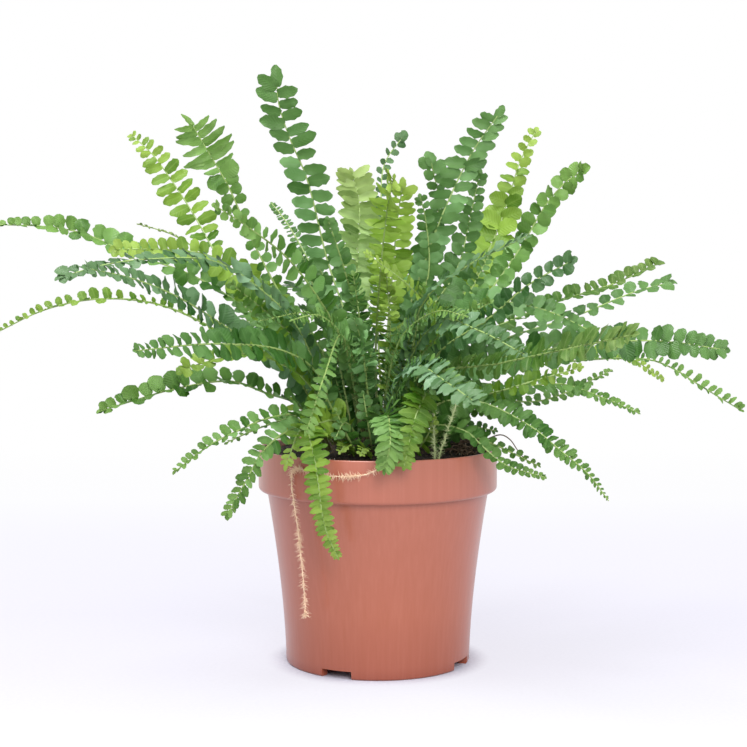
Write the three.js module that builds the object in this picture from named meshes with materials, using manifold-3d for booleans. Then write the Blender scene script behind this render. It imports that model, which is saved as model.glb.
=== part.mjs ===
// A potted button fern: a tapered plastic nursery pot filled with peat, a scaly rhizome crown, and some
// sixty arching fronds whose round leaflets are cut to the rib. Millimetres, +Z up, origin at the middle
// of the pot's foot, -Y to the front.
import * as THREE from "three";
import { mergeVertices } from "three/addons/utils/BufferGeometryUtils.js";
import Module from "manifold-3d";

const wasm = await Module();
wasm.setup();

// Driving dimensions of the pot.
const RIM_RADIUS = 60;
const POT_HEIGHT = 108;
const RIM_BAND = 21.5;
const FOOT_RADIUS = 46.4;
const NECK_RADIUS = 55.7;
const FLARE = 1.6;
const WALL = 1.5;
const FOOT_WIDTH = 4.5;
const FLOOR_UNDERSIDE = 4.4;
const FLOOR_THICKNESS = 1.6;
const NOTCH = { width: 16, height: 4, first: -26, count: 4 };
const DRAIN = { radius: 4.5, circle: 33, count: 4, sides: 10 };
const POT_SIDES = 36;
const GAP = 0.3;

// Driving dimensions of the peat and of the crown that sits in it.
const PEAT_EDGE = POT_HEIGHT - 4.5;
const PEAT_SHOULDER = 107;
const PEAT_SIDES = 32;
const CROWN_RADIUS = 33.5;
const CROWN_BED = 99.5;
const CROWN_TOP = 114;
const CROWN_SIDES = 22;
const ROOT_DEPTH = 102;

// Driving dimensions of the fronds.
const STIPE = { half: 0.85, thick: 0.75 };
const RIB_TIP = { half: 0.45, thick: 0.4 };
const BLADE = 0.7;
const BARE = 0.2;
const PAIR_SPACING = 15.2;
const MOST_PAIRS = 10;
const RAISE = 18;
const SWEEP = 0.22;
const USUAL_SHAPE = [0.65, 1, 0.45];

const COLOURS = {
  pot: 0xc4786a,
  peat: 0x2b211c,
  crown: 0x4a3a24,
  runner: 0xd9b48c,
  stolon: 0xa9b078,
  young: 0x95ba3e,
  fresh: 0x6fa044,
  deep: 0x4f8a48,
  pale: 0xa3c276,
  sheen: 0x6b9466,
};

const up = new THREE.Vector3(0, 0, 1);
const point = (p) => new THREE.Vector3(...p);
const degrees = THREE.MathUtils.degToRad;

// A small repeatable source of numbers between 0 and 1.
function seeded(seed) {
  let state = seed;
  return () => {
    state = (state * 1664525 + 1013904223) % 4294967296;
    return state / 4294967296;
  };
}

// A closed geometry as a solid that can be joined and cut.
function solidOf(geometry) {
  const bare = geometry.index ? geometry.toNonIndexed() : geometry.clone();
  bare.deleteAttribute("normal");
  bare.deleteAttribute("uv");
  const merged = mergeVertices(bare, 1e-4);
  return new wasm.Manifold(
    new wasm.Mesh({
      numProp: 3,
      vertProperties: merged.attributes.position.array,
      triVerts: new Uint32Array(merged.index.array),
    }),
  );
}

// A solid from a list of corner points and a list of triangles.
function solidFrom(corners, triangles) {
  return new wasm.Manifold(
    new wasm.Mesh({
      numProp: 3,
      vertProperties: new Float32Array(corners.flatMap((v) => [v.x, v.y, v.z])),
      triVerts: new Uint32Array(triangles.flat()),
    }),
  );
}

// A solid as a named mesh in its own colour.
function meshOf(name, solid, colour, roughness) {
  const { vertProperties, triVerts } = solid.getMesh();
  const geometry = new THREE.BufferGeometry();
  geometry.setAttribute("position", new THREE.BufferAttribute(vertProperties, 3));
  geometry.setIndex(new THREE.BufferAttribute(triVerts, 1));
  geometry.computeVertexNormals();
  const material = new THREE.MeshStandardMaterial({ color: colour, roughness, metalness: 0 });
  const mesh = new THREE.Mesh(geometry, material);
  mesh.name = name;
  return mesh;
}

// The pot's outer radius at a height under the rim band: the wall flares faster towards the neck.
function wallRadius(z) {
  const neck = POT_HEIGHT - RIM_BAND;
  return FOOT_RADIUS + (NECK_RADIUS - FOOT_RADIUS) * (z / neck) ** FLARE;
}

// The pot: a turned wall with a rim band and a raised floor, four notches in its foot and four drains.
function potSolid() {
  const neck = POT_HEIGHT - RIM_BAND;
  const floorTop = FLOOR_UNDERSIDE + FLOOR_THICKNESS;
  const heights = [22, 44, 66, neck - 1];
  const outer = [
    [FOOT_RADIUS - 0.8, 0],
    [FOOT_RADIUS, 0.8],
    ...heights.map((z) => [wallRadius(z), z]),
    [RIM_RADIUS - 1.4, neck + 0.8],
    [RIM_RADIUS, neck + 3],
    [RIM_RADIUS, POT_HEIGHT - 0.6],
    [RIM_RADIUS - 0.5, POT_HEIGHT],
  ];
  const inner = [
    [RIM_RADIUS - WALL, POT_HEIGHT],
    [RIM_RADIUS - WALL, neck + 4.2],
    ...heights.toReversed().map((z) => [wallRadius(z) - WALL, z]),
    [FOOT_RADIUS - WALL, floorTop],
    [0, floorTop],
  ];
  const profile = [
    [0, FLOOR_UNDERSIDE],
    [FOOT_RADIUS - FOOT_WIDTH, FLOOR_UNDERSIDE],
    [FOOT_RADIUS - FOOT_WIDTH, 0],
    ...outer,
    ...inner,
  ].map(([r, z]) => new THREE.Vector2(r, z));
  const turned = new THREE.LatheGeometry(profile, POT_SIDES).rotateX(Math.PI / 2);
  let pot = solidOf(turned);
  for (let i = 0; i < NOTCH.count; i += 1) {
    const angle = degrees(NOTCH.first + (360 / NOTCH.count) * i);
    const box = new THREE.BoxGeometry(NOTCH.width, 3 * FOOT_WIDTH, 2 * NOTCH.height)
      .translate(0, -FOOT_RADIUS, 0)
      .rotateZ(angle);
    pot = pot.subtract(solidOf(box));
  }
  for (let i = 0; i < DRAIN.count; i += 1) {
    const angle = degrees(NOTCH.first + 45 + (360 / DRAIN.count) * i);
    const hole = new THREE.CylinderGeometry(DRAIN.radius, DRAIN.radius, 8, DRAIN.sides)
      .rotateX(Math.PI / 2)
      .translate(0, -DRAIN.circle, floorTop)
      .rotateZ(angle);
    pot = pot.subtract(solidOf(hole));
  }
  return pot;
}

// A round body given by rings of height over the plane: each ring is [radius, height at an angle].
function roundedBody(rings, bottom, sides) {
  const corners = [];
  const triangles = [];
  const ringStart = [];
  for (const [radius, height] of rings) {
    ringStart.push(corners.length);
    for (let i = 0; i < sides; i += 1) {
      const a = (2 * Math.PI * i) / sides;
      corners.push(new THREE.Vector3(radius * Math.cos(a), radius * Math.sin(a), height(radius, a)));
    }
  }
  for (let k = 0; k + 1 < rings.length; k += 1)
    for (let i = 0; i < sides; i += 1) {
      const j = (i + 1) % sides;
      const [a, b] = [ringStart[k] + i, ringStart[k] + j];
      const [c, d] = [ringStart[k + 1] + i, ringStart[k + 1] + j];
      triangles.push([a, b, d], [a, d, c]);
    }
  const top = corners.push(new THREE.Vector3(0, 0, rings.at(-1)[1](0, 0))) - 1;
  const base = corners.push(new THREE.Vector3(0, 0, bottom)) - 1;
  for (let i = 0; i < sides; i += 1) {
    const j = (i + 1) % sides;
    triangles.push([ringStart.at(-1) + i, ringStart.at(-1) + j, top]);
    triangles.push([i, base, j]);
  }
  return solidFrom(corners, triangles);
}

// The peat's surface outside the crown: low at the rim, with a heap of roots at the right and back.
function peatHeight(radius, angle) {
  const toRim = (radius - CROWN_RADIUS) / (RIM_RADIUS - CROWN_RADIUS);
  const heap = Math.max(0, Math.cos(angle - degrees(35))) ** 3;
  const waves = 0.5 * Math.sin(5 * angle + 1) + 0.4 * Math.sin(9 * angle);
  return THREE.MathUtils.lerp(PEAT_SHOULDER, PEAT_EDGE, toRim) + waves + 5 * heap;
}

// The peat fills the pot up to its own surface, with a round bed for the crown.
function peatSolid() {
  const floor = FLOOR_UNDERSIDE + FLOOR_THICKNESS + GAP;
  const neck = POT_HEIGHT - RIM_BAND;
  const fit = Math.cos(Math.PI / POT_SIDES);
  const inside = (r) => (r - WALL) * fit - GAP;
  const flat = (z) => () => z;
  const rings = [
    [inside(FOOT_RADIUS) - 0.2, flat(floor)],
    ...[28, 56, neck - 1].map((z) => [inside(wallRadius(z)) - 0.2, flat(z)]),
    [inside(RIM_RADIUS), flat(neck + 4.6)],
    [inside(RIM_RADIUS), peatHeight],
    [(RIM_RADIUS + CROWN_RADIUS) / 2, peatHeight],
    [CROWN_RADIUS + GAP, peatHeight],
    [CROWN_RADIUS + GAP, flat(CROWN_BED)],
  ];
  return roundedBody(rings, floor, PEAT_SIDES);
}

// The crown's bare clump of rhizomes: a low dome with knobs.
function clumpSolid() {
  const random = seeded(7);
  const dome = (r) => CROWN_TOP - (CROWN_TOP - PEAT_SHOULDER) * (r / CROWN_RADIUS) ** 2;
  const knob = (r) => dome(r) + 1.6 * random() - 0.8;
  const fit = Math.cos(Math.PI / PEAT_SIDES);
  const rings = [
    [(CROWN_RADIUS - GAP) * fit, () => CROWN_BED + GAP],
    [(CROWN_RADIUS - GAP) * fit, () => PEAT_SHOULDER - 1.5],
    [28, knob],
    [20, knob],
    [11, knob],
  ];
  return roundedBody(rings, CROWN_BED + GAP, CROWN_SIDES);
}

// Fronds, each with the points that its rib passes through after the crown, the tip last, the length of
// its longest leaflets, the way its upper side faces, and its tone. Where leaflets don't shorten to the
// tip in the usual way, shape gives their shares at foot, middle and tip.
const FRONDS = [
  // Left side, from the top down.
  { name: "left_01", leaf: 9, face: [0, -0.6, 0.8], tone: "fresh",
    path: [[-48, 24, 158], [-93, 34, 192], [-132, 37, 206], [-152, 38, 215],
      [-171, 37, 219], [-196, 30, 220]] },
  { name: "left_02", leaf: 11.5, face: [0, -0.95, 0.3], tone: "young",
    path: [[-39, 5, 159], [-66, 8, 190], [-85, 8, 204], [-109, 4, 207], [-132, 0, 207]] },
  { name: "left_03", leaf: 9, face: [0, -0.45, 0.9], tone: "sheen",
    path: [[-38, -18, 166], [-60, -28, 190], [-78, -38, 201], [-106, -58, 201],
      [-126, -76, 197], [-145, -86, 191]] },
  { name: "left_04", leaf: 7, face: [0, -0.62, 0.78], tone: "young",
    path: [[-43, -8, 142], [-75, -18, 165], [-106, -24, 180], [-134, -30, 183],
      [-160, -30, 178], [-186, -28, 166]] },
  { name: "left_05", leaf: 9.5, face: [0, -0.75, 0.6], tone: "sheen",
    path: [[-41, -30, 148], [-58, -40, 160], [-74, -50, 171], [-93, -70, 183],
      [-110, -88, 191], [-127, -106, 196]] },
  { name: "left_06", leaf: 9.5, face: [0.5, -0.7, 0.5], tone: "deep",
    path: [[-28, -36, 145], [-42, -62, 159], [-71, -104, 165], [-102, -142, 167]] },
  { name: "left_07", leaf: 8.5, face: [0, -0.65, 0.76], tone: "fresh",
    path: [[-38, -22, 130], [-54, -36, 138], [-70, -42, 144], [-96, -50, 141],
      [-114, -53, 136], [-130, -55, 131]] },
  { name: "left_08", leaf: 6.5, face: [0, -0.7, 0.7], tone: "young",
    path: [[-33, -35, 142], [-57, -62, 156], [-72, -78, 154], [-87, -88, 150]] },
  { name: "left_09", leaf: 6.5, face: [0, -0.65, 0.76], tone: "fresh",
    path: [[-35, -33, 126], [-51, -46, 127], [-65, -54, 122], [-79, -58, 115], [-95, -62, 103]] },
  { name: "left_10", leaf: 9, shape: [1, 0.85, 0.45], face: [-0.4, -0.85, 0.35], tone: "fresh",
    path: [[-29, -34, 121], [-42, -46, 121], [-54, -53, 112], [-62, -55, 98], [-71, -56, 82]] },
  // Upper left.
  { name: "top_01", leaf: 13, shape: [0.6, 1, 0.65], face: [0.1, -0.95, 0.3], tone: "young",
    path: [[-24, 18, 150], [-56, 22, 176], [-80, 28, 200], [-97, 44, 226], [-108, 52, 242],
      [-120, 57, 258], [-132, 60, 269]] },
  { name: "top_02", leaf: 17, shape: [0.45, 0.7, 1], face: [0.1, -0.95, 0.3], tone: "fresh",
    path: [[-22, 3, 151], [-44, 2, 177], [-62, 0, 210], [-74, -5, 238], [-82, -6, 252], [-92, -8, 269]] },
  { name: "top_03", leaf: 8, face: [0.3, -0.85, 0.3], tone: "fresh",
    path: [[-13, -17, 148], [-22, -30, 172], [-41, -52, 201], [-57, -72, 215], [-73, -86, 226]] },
  { name: "top_04", leaf: 11, shape: [0.65, 1, 0.75], face: [0, -1, 0.1], tone: "deep",
    path: [[-13, 14, 161], [-26, 24, 202], [-37, 22, 244], [-46, 20, 264],
      [-52, 17, 282], [-52, 14, 300]] },
  { name: "top_05", leaf: 12.5, face: [0.4, -0.9, 0.1], tone: "pale",
    path: [[-12, 50, 165], [-11, 77, 206], [-10, 86, 232], [-14, 90, 250]] },
  { name: "top_06", leaf: 4.5, face: [-0.3, 0.2, 0.9], tone: "pale",
    path: [[-31, 45, 144], [-72, 72, 186], [-112, 90, 215], [-134, 92, 222]] },
  // Middle, upright.
  { name: "top_07", leaf: 6, face: [0.5, -0.8, 0.2], tone: "sheen",
    path: [[0, 60, 176], [3, 95, 224], [7, 108, 258], [18, 112, 274]] },
  { name: "top_08", leaf: 12, shape: [0.6, 1, 0.65], face: [0, -0.95, 0.3], tone: "young",
    path: [[-2, -6, 157], [-1, -26, 193], [0, -44, 223], [2, -66, 242]] },
  { name: "top_09", leaf: 6.5, face: [0.6, -0.7, 0.5], tone: "young",
    path: [[14, -9, 144], [28, -20, 172], [15, -38, 189], [-6, -50, 205]] },
  { name: "top_10", leaf: 10, face: [0.3, -0.9, 0.3], tone: "deep",
    path: [[11, 25, 166], [27, 38, 207], [32, 40, 231], [28, 36, 252]] },
  { name: "top_11", leaf: 8.5, face: [0, -0.95, 0.2], tone: "deep",
    path: [[9, 8, 161], [25, 5, 192], [24, 0, 221], [21, -6, 233]] },
  // Upper right.
  { name: "top_12", leaf: 11, shape: [0.6, 0.9, 0.9], face: [0.1, -0.95, 0.2], tone: "deep",
    path: [[12, 13, 161], [24, 20, 200], [33, 18, 226], [47, 21, 257], [59, 20, 276]] },
  { name: "top_13", leaf: 8, face: [0.2, -0.9, 0.3], tone: "deep",
    path: [[18, 25, 160], [42, 45, 197], [49, 50, 224], [54, 48, 248]] },
  { name: "top_14", leaf: 13, shape: [0.7, 1, 0.6], face: [-0.1, -0.95, 0.2], tone: "young",
    path: [[24, 31, 160], [50, 50, 190], [64, 64, 216], [72, 70, 238], [78, 76, 256], [87, 80, 273]] },
  { name: "top_15", leaf: 8.5, face: [-0.3, -0.9, 0.35], tone: "fresh",
    path: [[21, 2, 152], [50, 10, 178], [72, 14, 207], [86, 13, 229], [96, 10, 240], [104, 4, 248]] },
  { name: "top_16", leaf: 8, face: [-0.2, -0.4, 0.9], tone: "sheen",
    path: [[12, -18, 150], [23, -46, 184], [41, -66, 199], [66, -86, 212]] },
  // Right side, from the top down.
  { name: "right_01", leaf: 7.5, face: [0, -0.85, 0.5], tone: "sheen",
    path: [[28, -14, 153], [54, -30, 174], [72, -38, 190], [91, -44, 201]] },
  { name: "right_02", leaf: 9.5, face: [0, -0.7, 0.7], tone: "deep",
    path: [[29, -3, 157], [50, -14, 180], [79, -22, 178], [104, -26, 167]] },
  { name: "right_03", leaf: 7, face: [0, -0.65, 0.76], tone: "pale",
    path: [[32, 22, 150], [70, 40, 170], [100, 52, 181], [128, 66, 189], [155, 80, 200]] },
  { name: "right_04", leaf: 8, face: [0, -0.35, 0.94], tone: "deep",
    path: [[32, 11, 148], [70, 20, 163], [103, 27, 173], [136, 38, 187], [154, 42, 193]] },
  { name: "right_05", leaf: 10, face: [0, -0.95, 0.35], tone: "deep",
    path: [[31, -6, 145], [70, -12, 155], [109, -15, 161], [140, -19, 162], [171, -22, 158]] },
  { name: "right_06", leaf: 10.5, face: [-0.6, -0.6, 0.55], tone: "pale",
    path: [[20, -26, 142], [56, -66, 154], [81, -110, 163], [103, -150, 171]] },
  { name: "right_07", leaf: 7, face: [0, -0.62, 0.78], tone: "fresh",
    path: [[32, 4, 138], [84, 18, 148], [141, 32, 151], [156, 35, 146], [167, 36, 139], [195, 38, 123]] },
  { name: "right_08", leaf: 5.5, face: [0, -0.8, 0.6], tone: "young",
    path: [[35, 24, 140], [97, 48, 152], [134, 64, 150], [157, 72, 136]] },
  { name: "right_09", leaf: 10, shape: [1, 0.85, 0.35], face: [0.1, -0.6, 0.8], tone: "fresh",
    path: [[29, -10, 131], [62, 0, 136], [93, 6, 139], [114, 8, 132], [133, 7, 124]] },
  { name: "right_10", leaf: 9, shape: [1, 0.85, 0.2], face: [0.5, -0.8, 0.4], tone: "fresh",
    path: [[28, -18, 130], [48, -26, 133], [73, -34, 122], [88, -37, 110],
      [101, -38, 99], [111, -38, 86]] },
  { name: "right_11", leaf: 7.5, shape: [1, 0.8, 0.45], face: [0.4, -0.75, 0.5], tone: "fresh",
    path: [[25, -30, 121], [42, -42, 120], [50, -46, 113], [60, -49, 105], [79, -50, 99]] },
  // Front.
  { name: "front_01", leaf: 8.5, face: [-0.3, -0.6, 0.75], tone: "sheen",
    path: [[9, -32, 142], [20, -56, 152], [33, -84, 146], [45, -102, 138]] },
  { name: "front_02", leaf: 11, face: [0, -1, 0.2], tone: "fresh",
    path: [[3, -40, 126], [5, -58, 127], [5, -69, 114], [2, -71, 101]] },
  { name: "front_03", leaf: 9, face: [0.2, -0.9, 0.4], tone: "young",
    path: [[13, -36, 128], [22, -55, 139], [18, -63, 131], [15, -67, 121], [12, -69, 107]] },
  { name: "front_04", leaf: 8.5, face: [-0.4, -0.6, 0.7], tone: "sheen",
    path: [[15, -24, 152], [30, -50, 173], [45, -80, 170], [63, -112, 161]] },
  { name: "front_05", leaf: 8.5, shape: [1, 0.85, 0.5], face: [0, -1, 0.25], tone: "young",
    path: [[-20, -34, 124], [-32, -54, 121], [-29, -66, 108], [-24, -66, 78], [-17, -63, 61]] },
  // Among the upright ones, in the middle of the plant.
  { name: "middle_01", leaf: 8.5, face: [0, -0.9, 0.4], tone: "fresh",
    path: [[-30, -10, 150], [-50, -15, 172], [-72, -15, 190]] },
  { name: "middle_02", leaf: 8.5, face: [-0.1, -0.9, 0.3], tone: "deep",
    path: [[-18, -5, 156], [-30, -8, 184], [-38, -12, 206]] },
  { name: "middle_03", leaf: 8.5, face: [0, -0.75, 0.6], tone: "deep",
    path: [[-5, -28, 138], [-8, -50, 164], [-11, -70, 175]] },
  { name: "middle_04", leaf: 8.5, face: [-0.2, -0.9, 0.4], tone: "fresh",
    path: [[16, -22, 146], [32, -36, 168], [53, -48, 182]] },
  // Back.
  { name: "back_01", leaf: 9, face: [-0.3, 0.4, 0.85], tone: "fresh",
    path: [[-24, 36, 140], [-52, 76, 160], [-74, 102, 166], [-96, 124, 156]] },
  { name: "back_02", leaf: 9, face: [-0.2, 0.6, 0.75], tone: "deep",
    path: [[-17, 38, 150], [-38, 82, 182], [-52, 114, 186], [-64, 144, 172]] },
  { name: "back_03", leaf: 9, face: [0, 0.7, 0.7], tone: "fresh",
    path: [[-3, 37, 140], [-12, 80, 162], [-18, 118, 160], [-20, 150, 140]] },
  { name: "back_04", leaf: 9, face: [0.1, 0.6, 0.8], tone: "deep",
    path: [[8, 38, 146], [18, 84, 176], [26, 116, 178], [34, 146, 164]] },
  { name: "back_05", leaf: 9, face: [0.3, 0.5, 0.8], tone: "fresh",
    path: [[20, 36, 138], [48, 78, 160], [66, 106, 160], [84, 132, 146]] },
  { name: "back_06", leaf: 8, face: [0.2, 0.9, 0.4], tone: "young",
    path: [[16, 42, 122], [26, 66, 126], [34, 84, 112], [38, 94, 92]] },
  { name: "back_07", leaf: 8, face: [-0.3, 0.9, 0.4], tone: "young",
    path: [[-20, 38, 124], [-36, 58, 128], [-48, 76, 114], [-56, 86, 94]] },
  { name: "back_08", leaf: 9.5, face: [-0.4, 0.8, 0.4], tone: "deep",
    path: [[-16, 24, 158], [-38, 50, 204], [-50, 66, 228], [-60, 82, 240]] },
  { name: "back_09", leaf: 9.5, face: [0.3, 0.8, 0.5], tone: "sheen",
    path: [[20, 40, 152], [44, 82, 186], [58, 104, 196], [74, 124, 194]] },
];

// Short sprigs and thin young fronds that are grown together with the crown.
const SPRIGS = [
  { leaf: 7, face: [-0.3, -0.9, 0.4], path: [[-24, -38, 122], [-36, -50, 122], [-43, -56, 106]] },
  { leaf: 4, face: [0.5, -0.8, 0.3], path: [[-13, -20, 146], [-18, -38, 166], [-25, -58, 148], [-33, -72, 123]] },
  { leaf: 8, face: [0.2, -0.7, 0.6], path: [[-21, -22, 158], [-31, -46, 176], [-54, -74, 174]] },
  { leaf: 8, face: [0, -0.9, 0.3], path: [[-28, -3, 156], [-46, -8, 178], [-60, -8, 191]] },
  { leaf: 7, face: [0, -0.9, 0.3], path: [[-38, 14, 138], [-61, 38, 158], [-77, 50, 184]] },
  { leaf: 4, face: [0.2, -0.3, 0.9], path: [[-34, -13, 124], [-54, -22, 121], [-74, -28, 113]] },
  { leaf: 5, face: [0.3, -0.9, 0.2], path: [[-17, 31, 165], [-27, 38, 190], [-36, 40, 208]] },
  { leaf: 9, face: [0.2, -0.9, 0.3], path: [[5, 6, 166], [10, 2, 202], [12, -6, 224], [14, -14, 240]] },
  { leaf: 8, face: [0, -0.95, 0.2], path: [[26, 8, 156], [43, 12, 179], [57, 14, 205]] },
  { leaf: 4.5, face: [0, -0.6, 0.8], path: [[32, 16, 130], [86, 36, 128], [125, 50, 143]] },
  { leaf: 4.5, face: [0.2, -0.6, 0.8], path: [[34, -18, 118], [52, -28, 114], [78, -30, 102]] },
  { leaf: 8.5, face: [0.3, -0.9, 0.3], path: [[-9, -8, 165], [-16, -22, 196], [-24, -34, 221]] },
  { leaf: 6, face: [-0.2, -0.9, 0.3], path: [[-14, -38, 116], [-20, -44, 130]] },
  { leaf: 6, face: [0, -0.9, 0.3], path: [[-4, -34, 118], [-7, -42, 138]] },
  { leaf: 6, face: [0.1, -0.9, 0.3], path: [[22, -34, 114], [27, -42, 126]] },
  { leaf: 6, face: [0.4, -0.7, 0.5], path: [[31, -8, 112], [45, -9, 120]] },
  { leaf: 6, face: [-0.6, -0.3, 0.7], path: [[-34, 8, 114], [-48, 12, 122]] },
  { leaf: 6, face: [0.3, 0.8, 0.5], path: [[-5, 36, 115], [-8, 47, 126]] },
];

// The hairy runner: out of the peat, over the lip, left along the rim band, then down by its own weight.
const RUNNER = {
  half: 0.8,
  sides: 4,
  steps: 30,
  path: [[6, -51, 101], [6, -54.5, 107], [6, -58, 109.8], [4, -61.2, 108.8], [-2, -62, 103.5],
    [-12, -60.3, 101], [-22, -57.5, 100.6], [-32, -52.6, 101.5], [-39, -47.6, 103], [-41.4, -45.6, 99],
    [-41, -46, 90], [-39.5, -46.4, 76], [-38, -46.6, 62], [-37, -46.4, 48], [-36, -46, 34]],
};

// Two fuzzy young stolons that stand in the peat from one foot.
const STOLONS = {
  half: 1,
  sides: 5,
  steps: 6,
  paths: [
    [[30, -42, 101], [30.5, -41.5, 110], [32.5, -40, 122], [33, -38, 134]],
    [[30, -42, 101], [32, -42, 110], [37, -41, 122], [41, -38, 135]],
  ],
};

// A round bar along a smooth line through the given points.
function barSolid(path, half, sides, steps) {
  const line = new THREE.CatmullRomCurve3(path.map(point), false, "centripetal");
  const section = new THREE.Shape();
  for (let i = 0; i < sides; i += 1) {
    const a = (2 * Math.PI * i) / sides;
    section[i === 0 ? "moveTo" : "lineTo"](half * Math.cos(a), half * Math.sin(a));
  }
  section.closePath();
  return solidOf(new THREE.ExtrudeGeometry(section, { steps, extrudePath: line, curveSegments: 1 }));
}

// Roots stand in a spiral over the crown; each frond takes the free place nearest to its own lean from
// which its stem passes clear of the stems already standing.
const ROOT_PLACES = Array.from({ length: 96 }, (_, k) => {
  const radius = (CROWN_RADIUS - 3.5) * Math.sqrt((k + 0.5) / 96);
  const angle = degrees(137.5077 * k);
  return new THREE.Vector3(radius * Math.cos(angle), radius * Math.sin(angle), ROOT_DEPTH);
});

// How long the leaflets are along the blade, as shares at its foot, middle and tip.
function leafShare(t, [foot, middle, tip]) {
  if (t < 0.5) return THREE.MathUtils.lerp(foot, middle, Math.sin(Math.PI * t));
  return THREE.MathUtils.lerp(middle, tip, (2 * t - 1) ** 1.6);
}

// The stations of a frond: place, direction, side and upper side of the rib, bare stipe first.
function frondStations(row, root) {
  const rib = new THREE.CatmullRomCurve3([root, ...row.path.map(point)], false, "centripetal");
  const length = rib.getLength();
  const pairs = Math.min(MOST_PAIRS, Math.round((length * (1 - BARE)) / PAIR_SPACING));
  const shares = [0, BARE / 3, (2 * BARE) / 3];
  for (let i = 0; i <= pairs; i += 1) shares.push(Math.min(1, BARE + ((1 - BARE) * i) / pairs));
  const face = point(row.face);
  const stations = shares.map((u) => {
    const along = rib.getTangentAt(u);
    const over = face.clone().addScaledVector(along, -face.dot(along)).normalize();
    const side = new THREE.Vector3().crossVectors(along, over);
    return { u, at: rib.getPointAt(u), along, over, side };
  });
  return { row, stations, pairs, firstPair: 3 };
}

// The four corners of the rib at a station: side and over, other side and over, then the same under.
function ribCorners(station, grow) {
  const half = THREE.MathUtils.lerp(STIPE.half, RIB_TIP.half, station.u) + grow;
  const thick = THREE.MathUtils.lerp(STIPE.thick, RIB_TIP.thick, station.u) + grow;
  return [[1, 1], [-1, 1], [-1, -1], [1, -1]].map(([s, o]) =>
    station.at.clone().addScaledVector(station.side, s * half).addScaledVector(station.over, o * thick),
  );
}

// A four-sided bar along some of a frond's stations, grown on all sides.
function ribSolid(stations, grow) {
  const corners = stations.flatMap((s) => ribCorners(s, grow));
  const triangles = [[0, 1, 2], [0, 2, 3]];
  for (let i = 0; i + 1 < stations.length; i += 1)
    for (let k = 0; k < 4; k += 1) {
      const [a, b] = [4 * i + k, 4 * i + ((k + 1) % 4)];
      triangles.push([a, a + 4, b + 4], [a, b + 4, b]);
    }
  const e = 4 * (stations.length - 1);
  triangles.push([e, e + 2, e + 1], [e, e + 3, e + 2]);
  return solidFrom(corners, triangles);
}

const apart = (p, q) => [0, 1, 2].some((i) => p.max[i] < q.min[i] || q.max[i] < p.min[i]);
const obstacle = (solid) => ({ solid, box: solid.boundingBox() });

function clearOf(trial, obstacles) {
  const box = trial.boundingBox();
  return obstacles.every((o) => apart(box, o.box) || trial.intersect(o.solid).isEmpty());
}

function rootedFrond(row, free, standing) {
  const wanted = new THREE.Vector3(row.path[0][0] / 2, row.path[0][1] / 2, ROOT_DEPTH);
  free.sort((a, b) => a.distanceTo(wanted) - b.distanceTo(wanted));
  for (const root of free) {
    const frond = frondStations(row, root);
    const rib = obstacle(ribSolid(frond.stations, GAP));
    if (!clearOf(rib.solid, standing)) continue;
    free.splice(free.indexOf(root), 1);
    standing.push(rib);
    return { ...frond, rib };
  }
  throw new Error("no free place for a stem towards " + row.path.at(-1));
}

// The outer corners of a leaflet between two stations: hand is 1 or -1, reach its length, raise its
// angle over the blade's plane. Each corner comes as its upper and lower point.
function leafCorners(near, far, hand, reach, raise, grow) {
  const angle = degrees(raise);
  const out = near.side.clone().multiplyScalar(hand * Math.cos(angle)).addScaledVector(near.over, Math.sin(angle));
  const face = near.over.clone().multiplyScalar(Math.cos(angle)).addScaledVector(near.side, -hand * Math.sin(angle));
  const step = new THREE.Vector3().subVectors(far.at, near.at);
  const corner = (share, stretch) =>
    near.at.clone()
      .addScaledVector(step, share)
      .addScaledVector(step.clone().normalize(), SWEEP * reach)
      .addScaledVector(out, stretch * reach + grow);
  return [corner(0.14, 0.94), corner(0.78, 1)].map((c) =>
    [1, -1].map((o) => c.clone().addScaledVector(face, o * (BLADE / 2 + grow))),
  );
}

// A leaflet alone as a solid, grown by a clearance, to try it against its neighbours.
function leafTrial(near, far, hand, reach, raise) {
  const grow = 0.2;
  const [[a, aUnder], [b, bUnder]] = leafCorners(near, far, hand, reach, raise, grow);
  const [n, f] = [ribCorners(near, grow), ribCorners(far, grow)];
  const [over, under] = hand > 0 ? [0, 3] : [1, 2];
  const corners = [n[over], a, b, f[over], n[under], aUnder, bUnder, f[under]];
  const triangles = [
    [0, 1, 2], [0, 2, 3], [4, 6, 5], [4, 7, 6],
    [0, 4, 5], [0, 5, 1], [1, 5, 6], [1, 6, 2], [2, 6, 7], [2, 7, 3], [3, 7, 4], [3, 4, 0],
  ];
  return solidFrom(corners, hand > 0 ? triangles : triangles.map(([i, j, k]) => [i, k, j]));
}

// The ways a leaflet may lie, tried in turn until it crosses nothing: as share of its reach and as
// degrees added to its raise. One that finds no way is left off.
const LIES = [[1, 0], [1, 28], [1, -28], [0.75, 0], [0.7, 45], [0.7, -45], [0.45, 10], [0.45, 50], [0.45, -40]];

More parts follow.
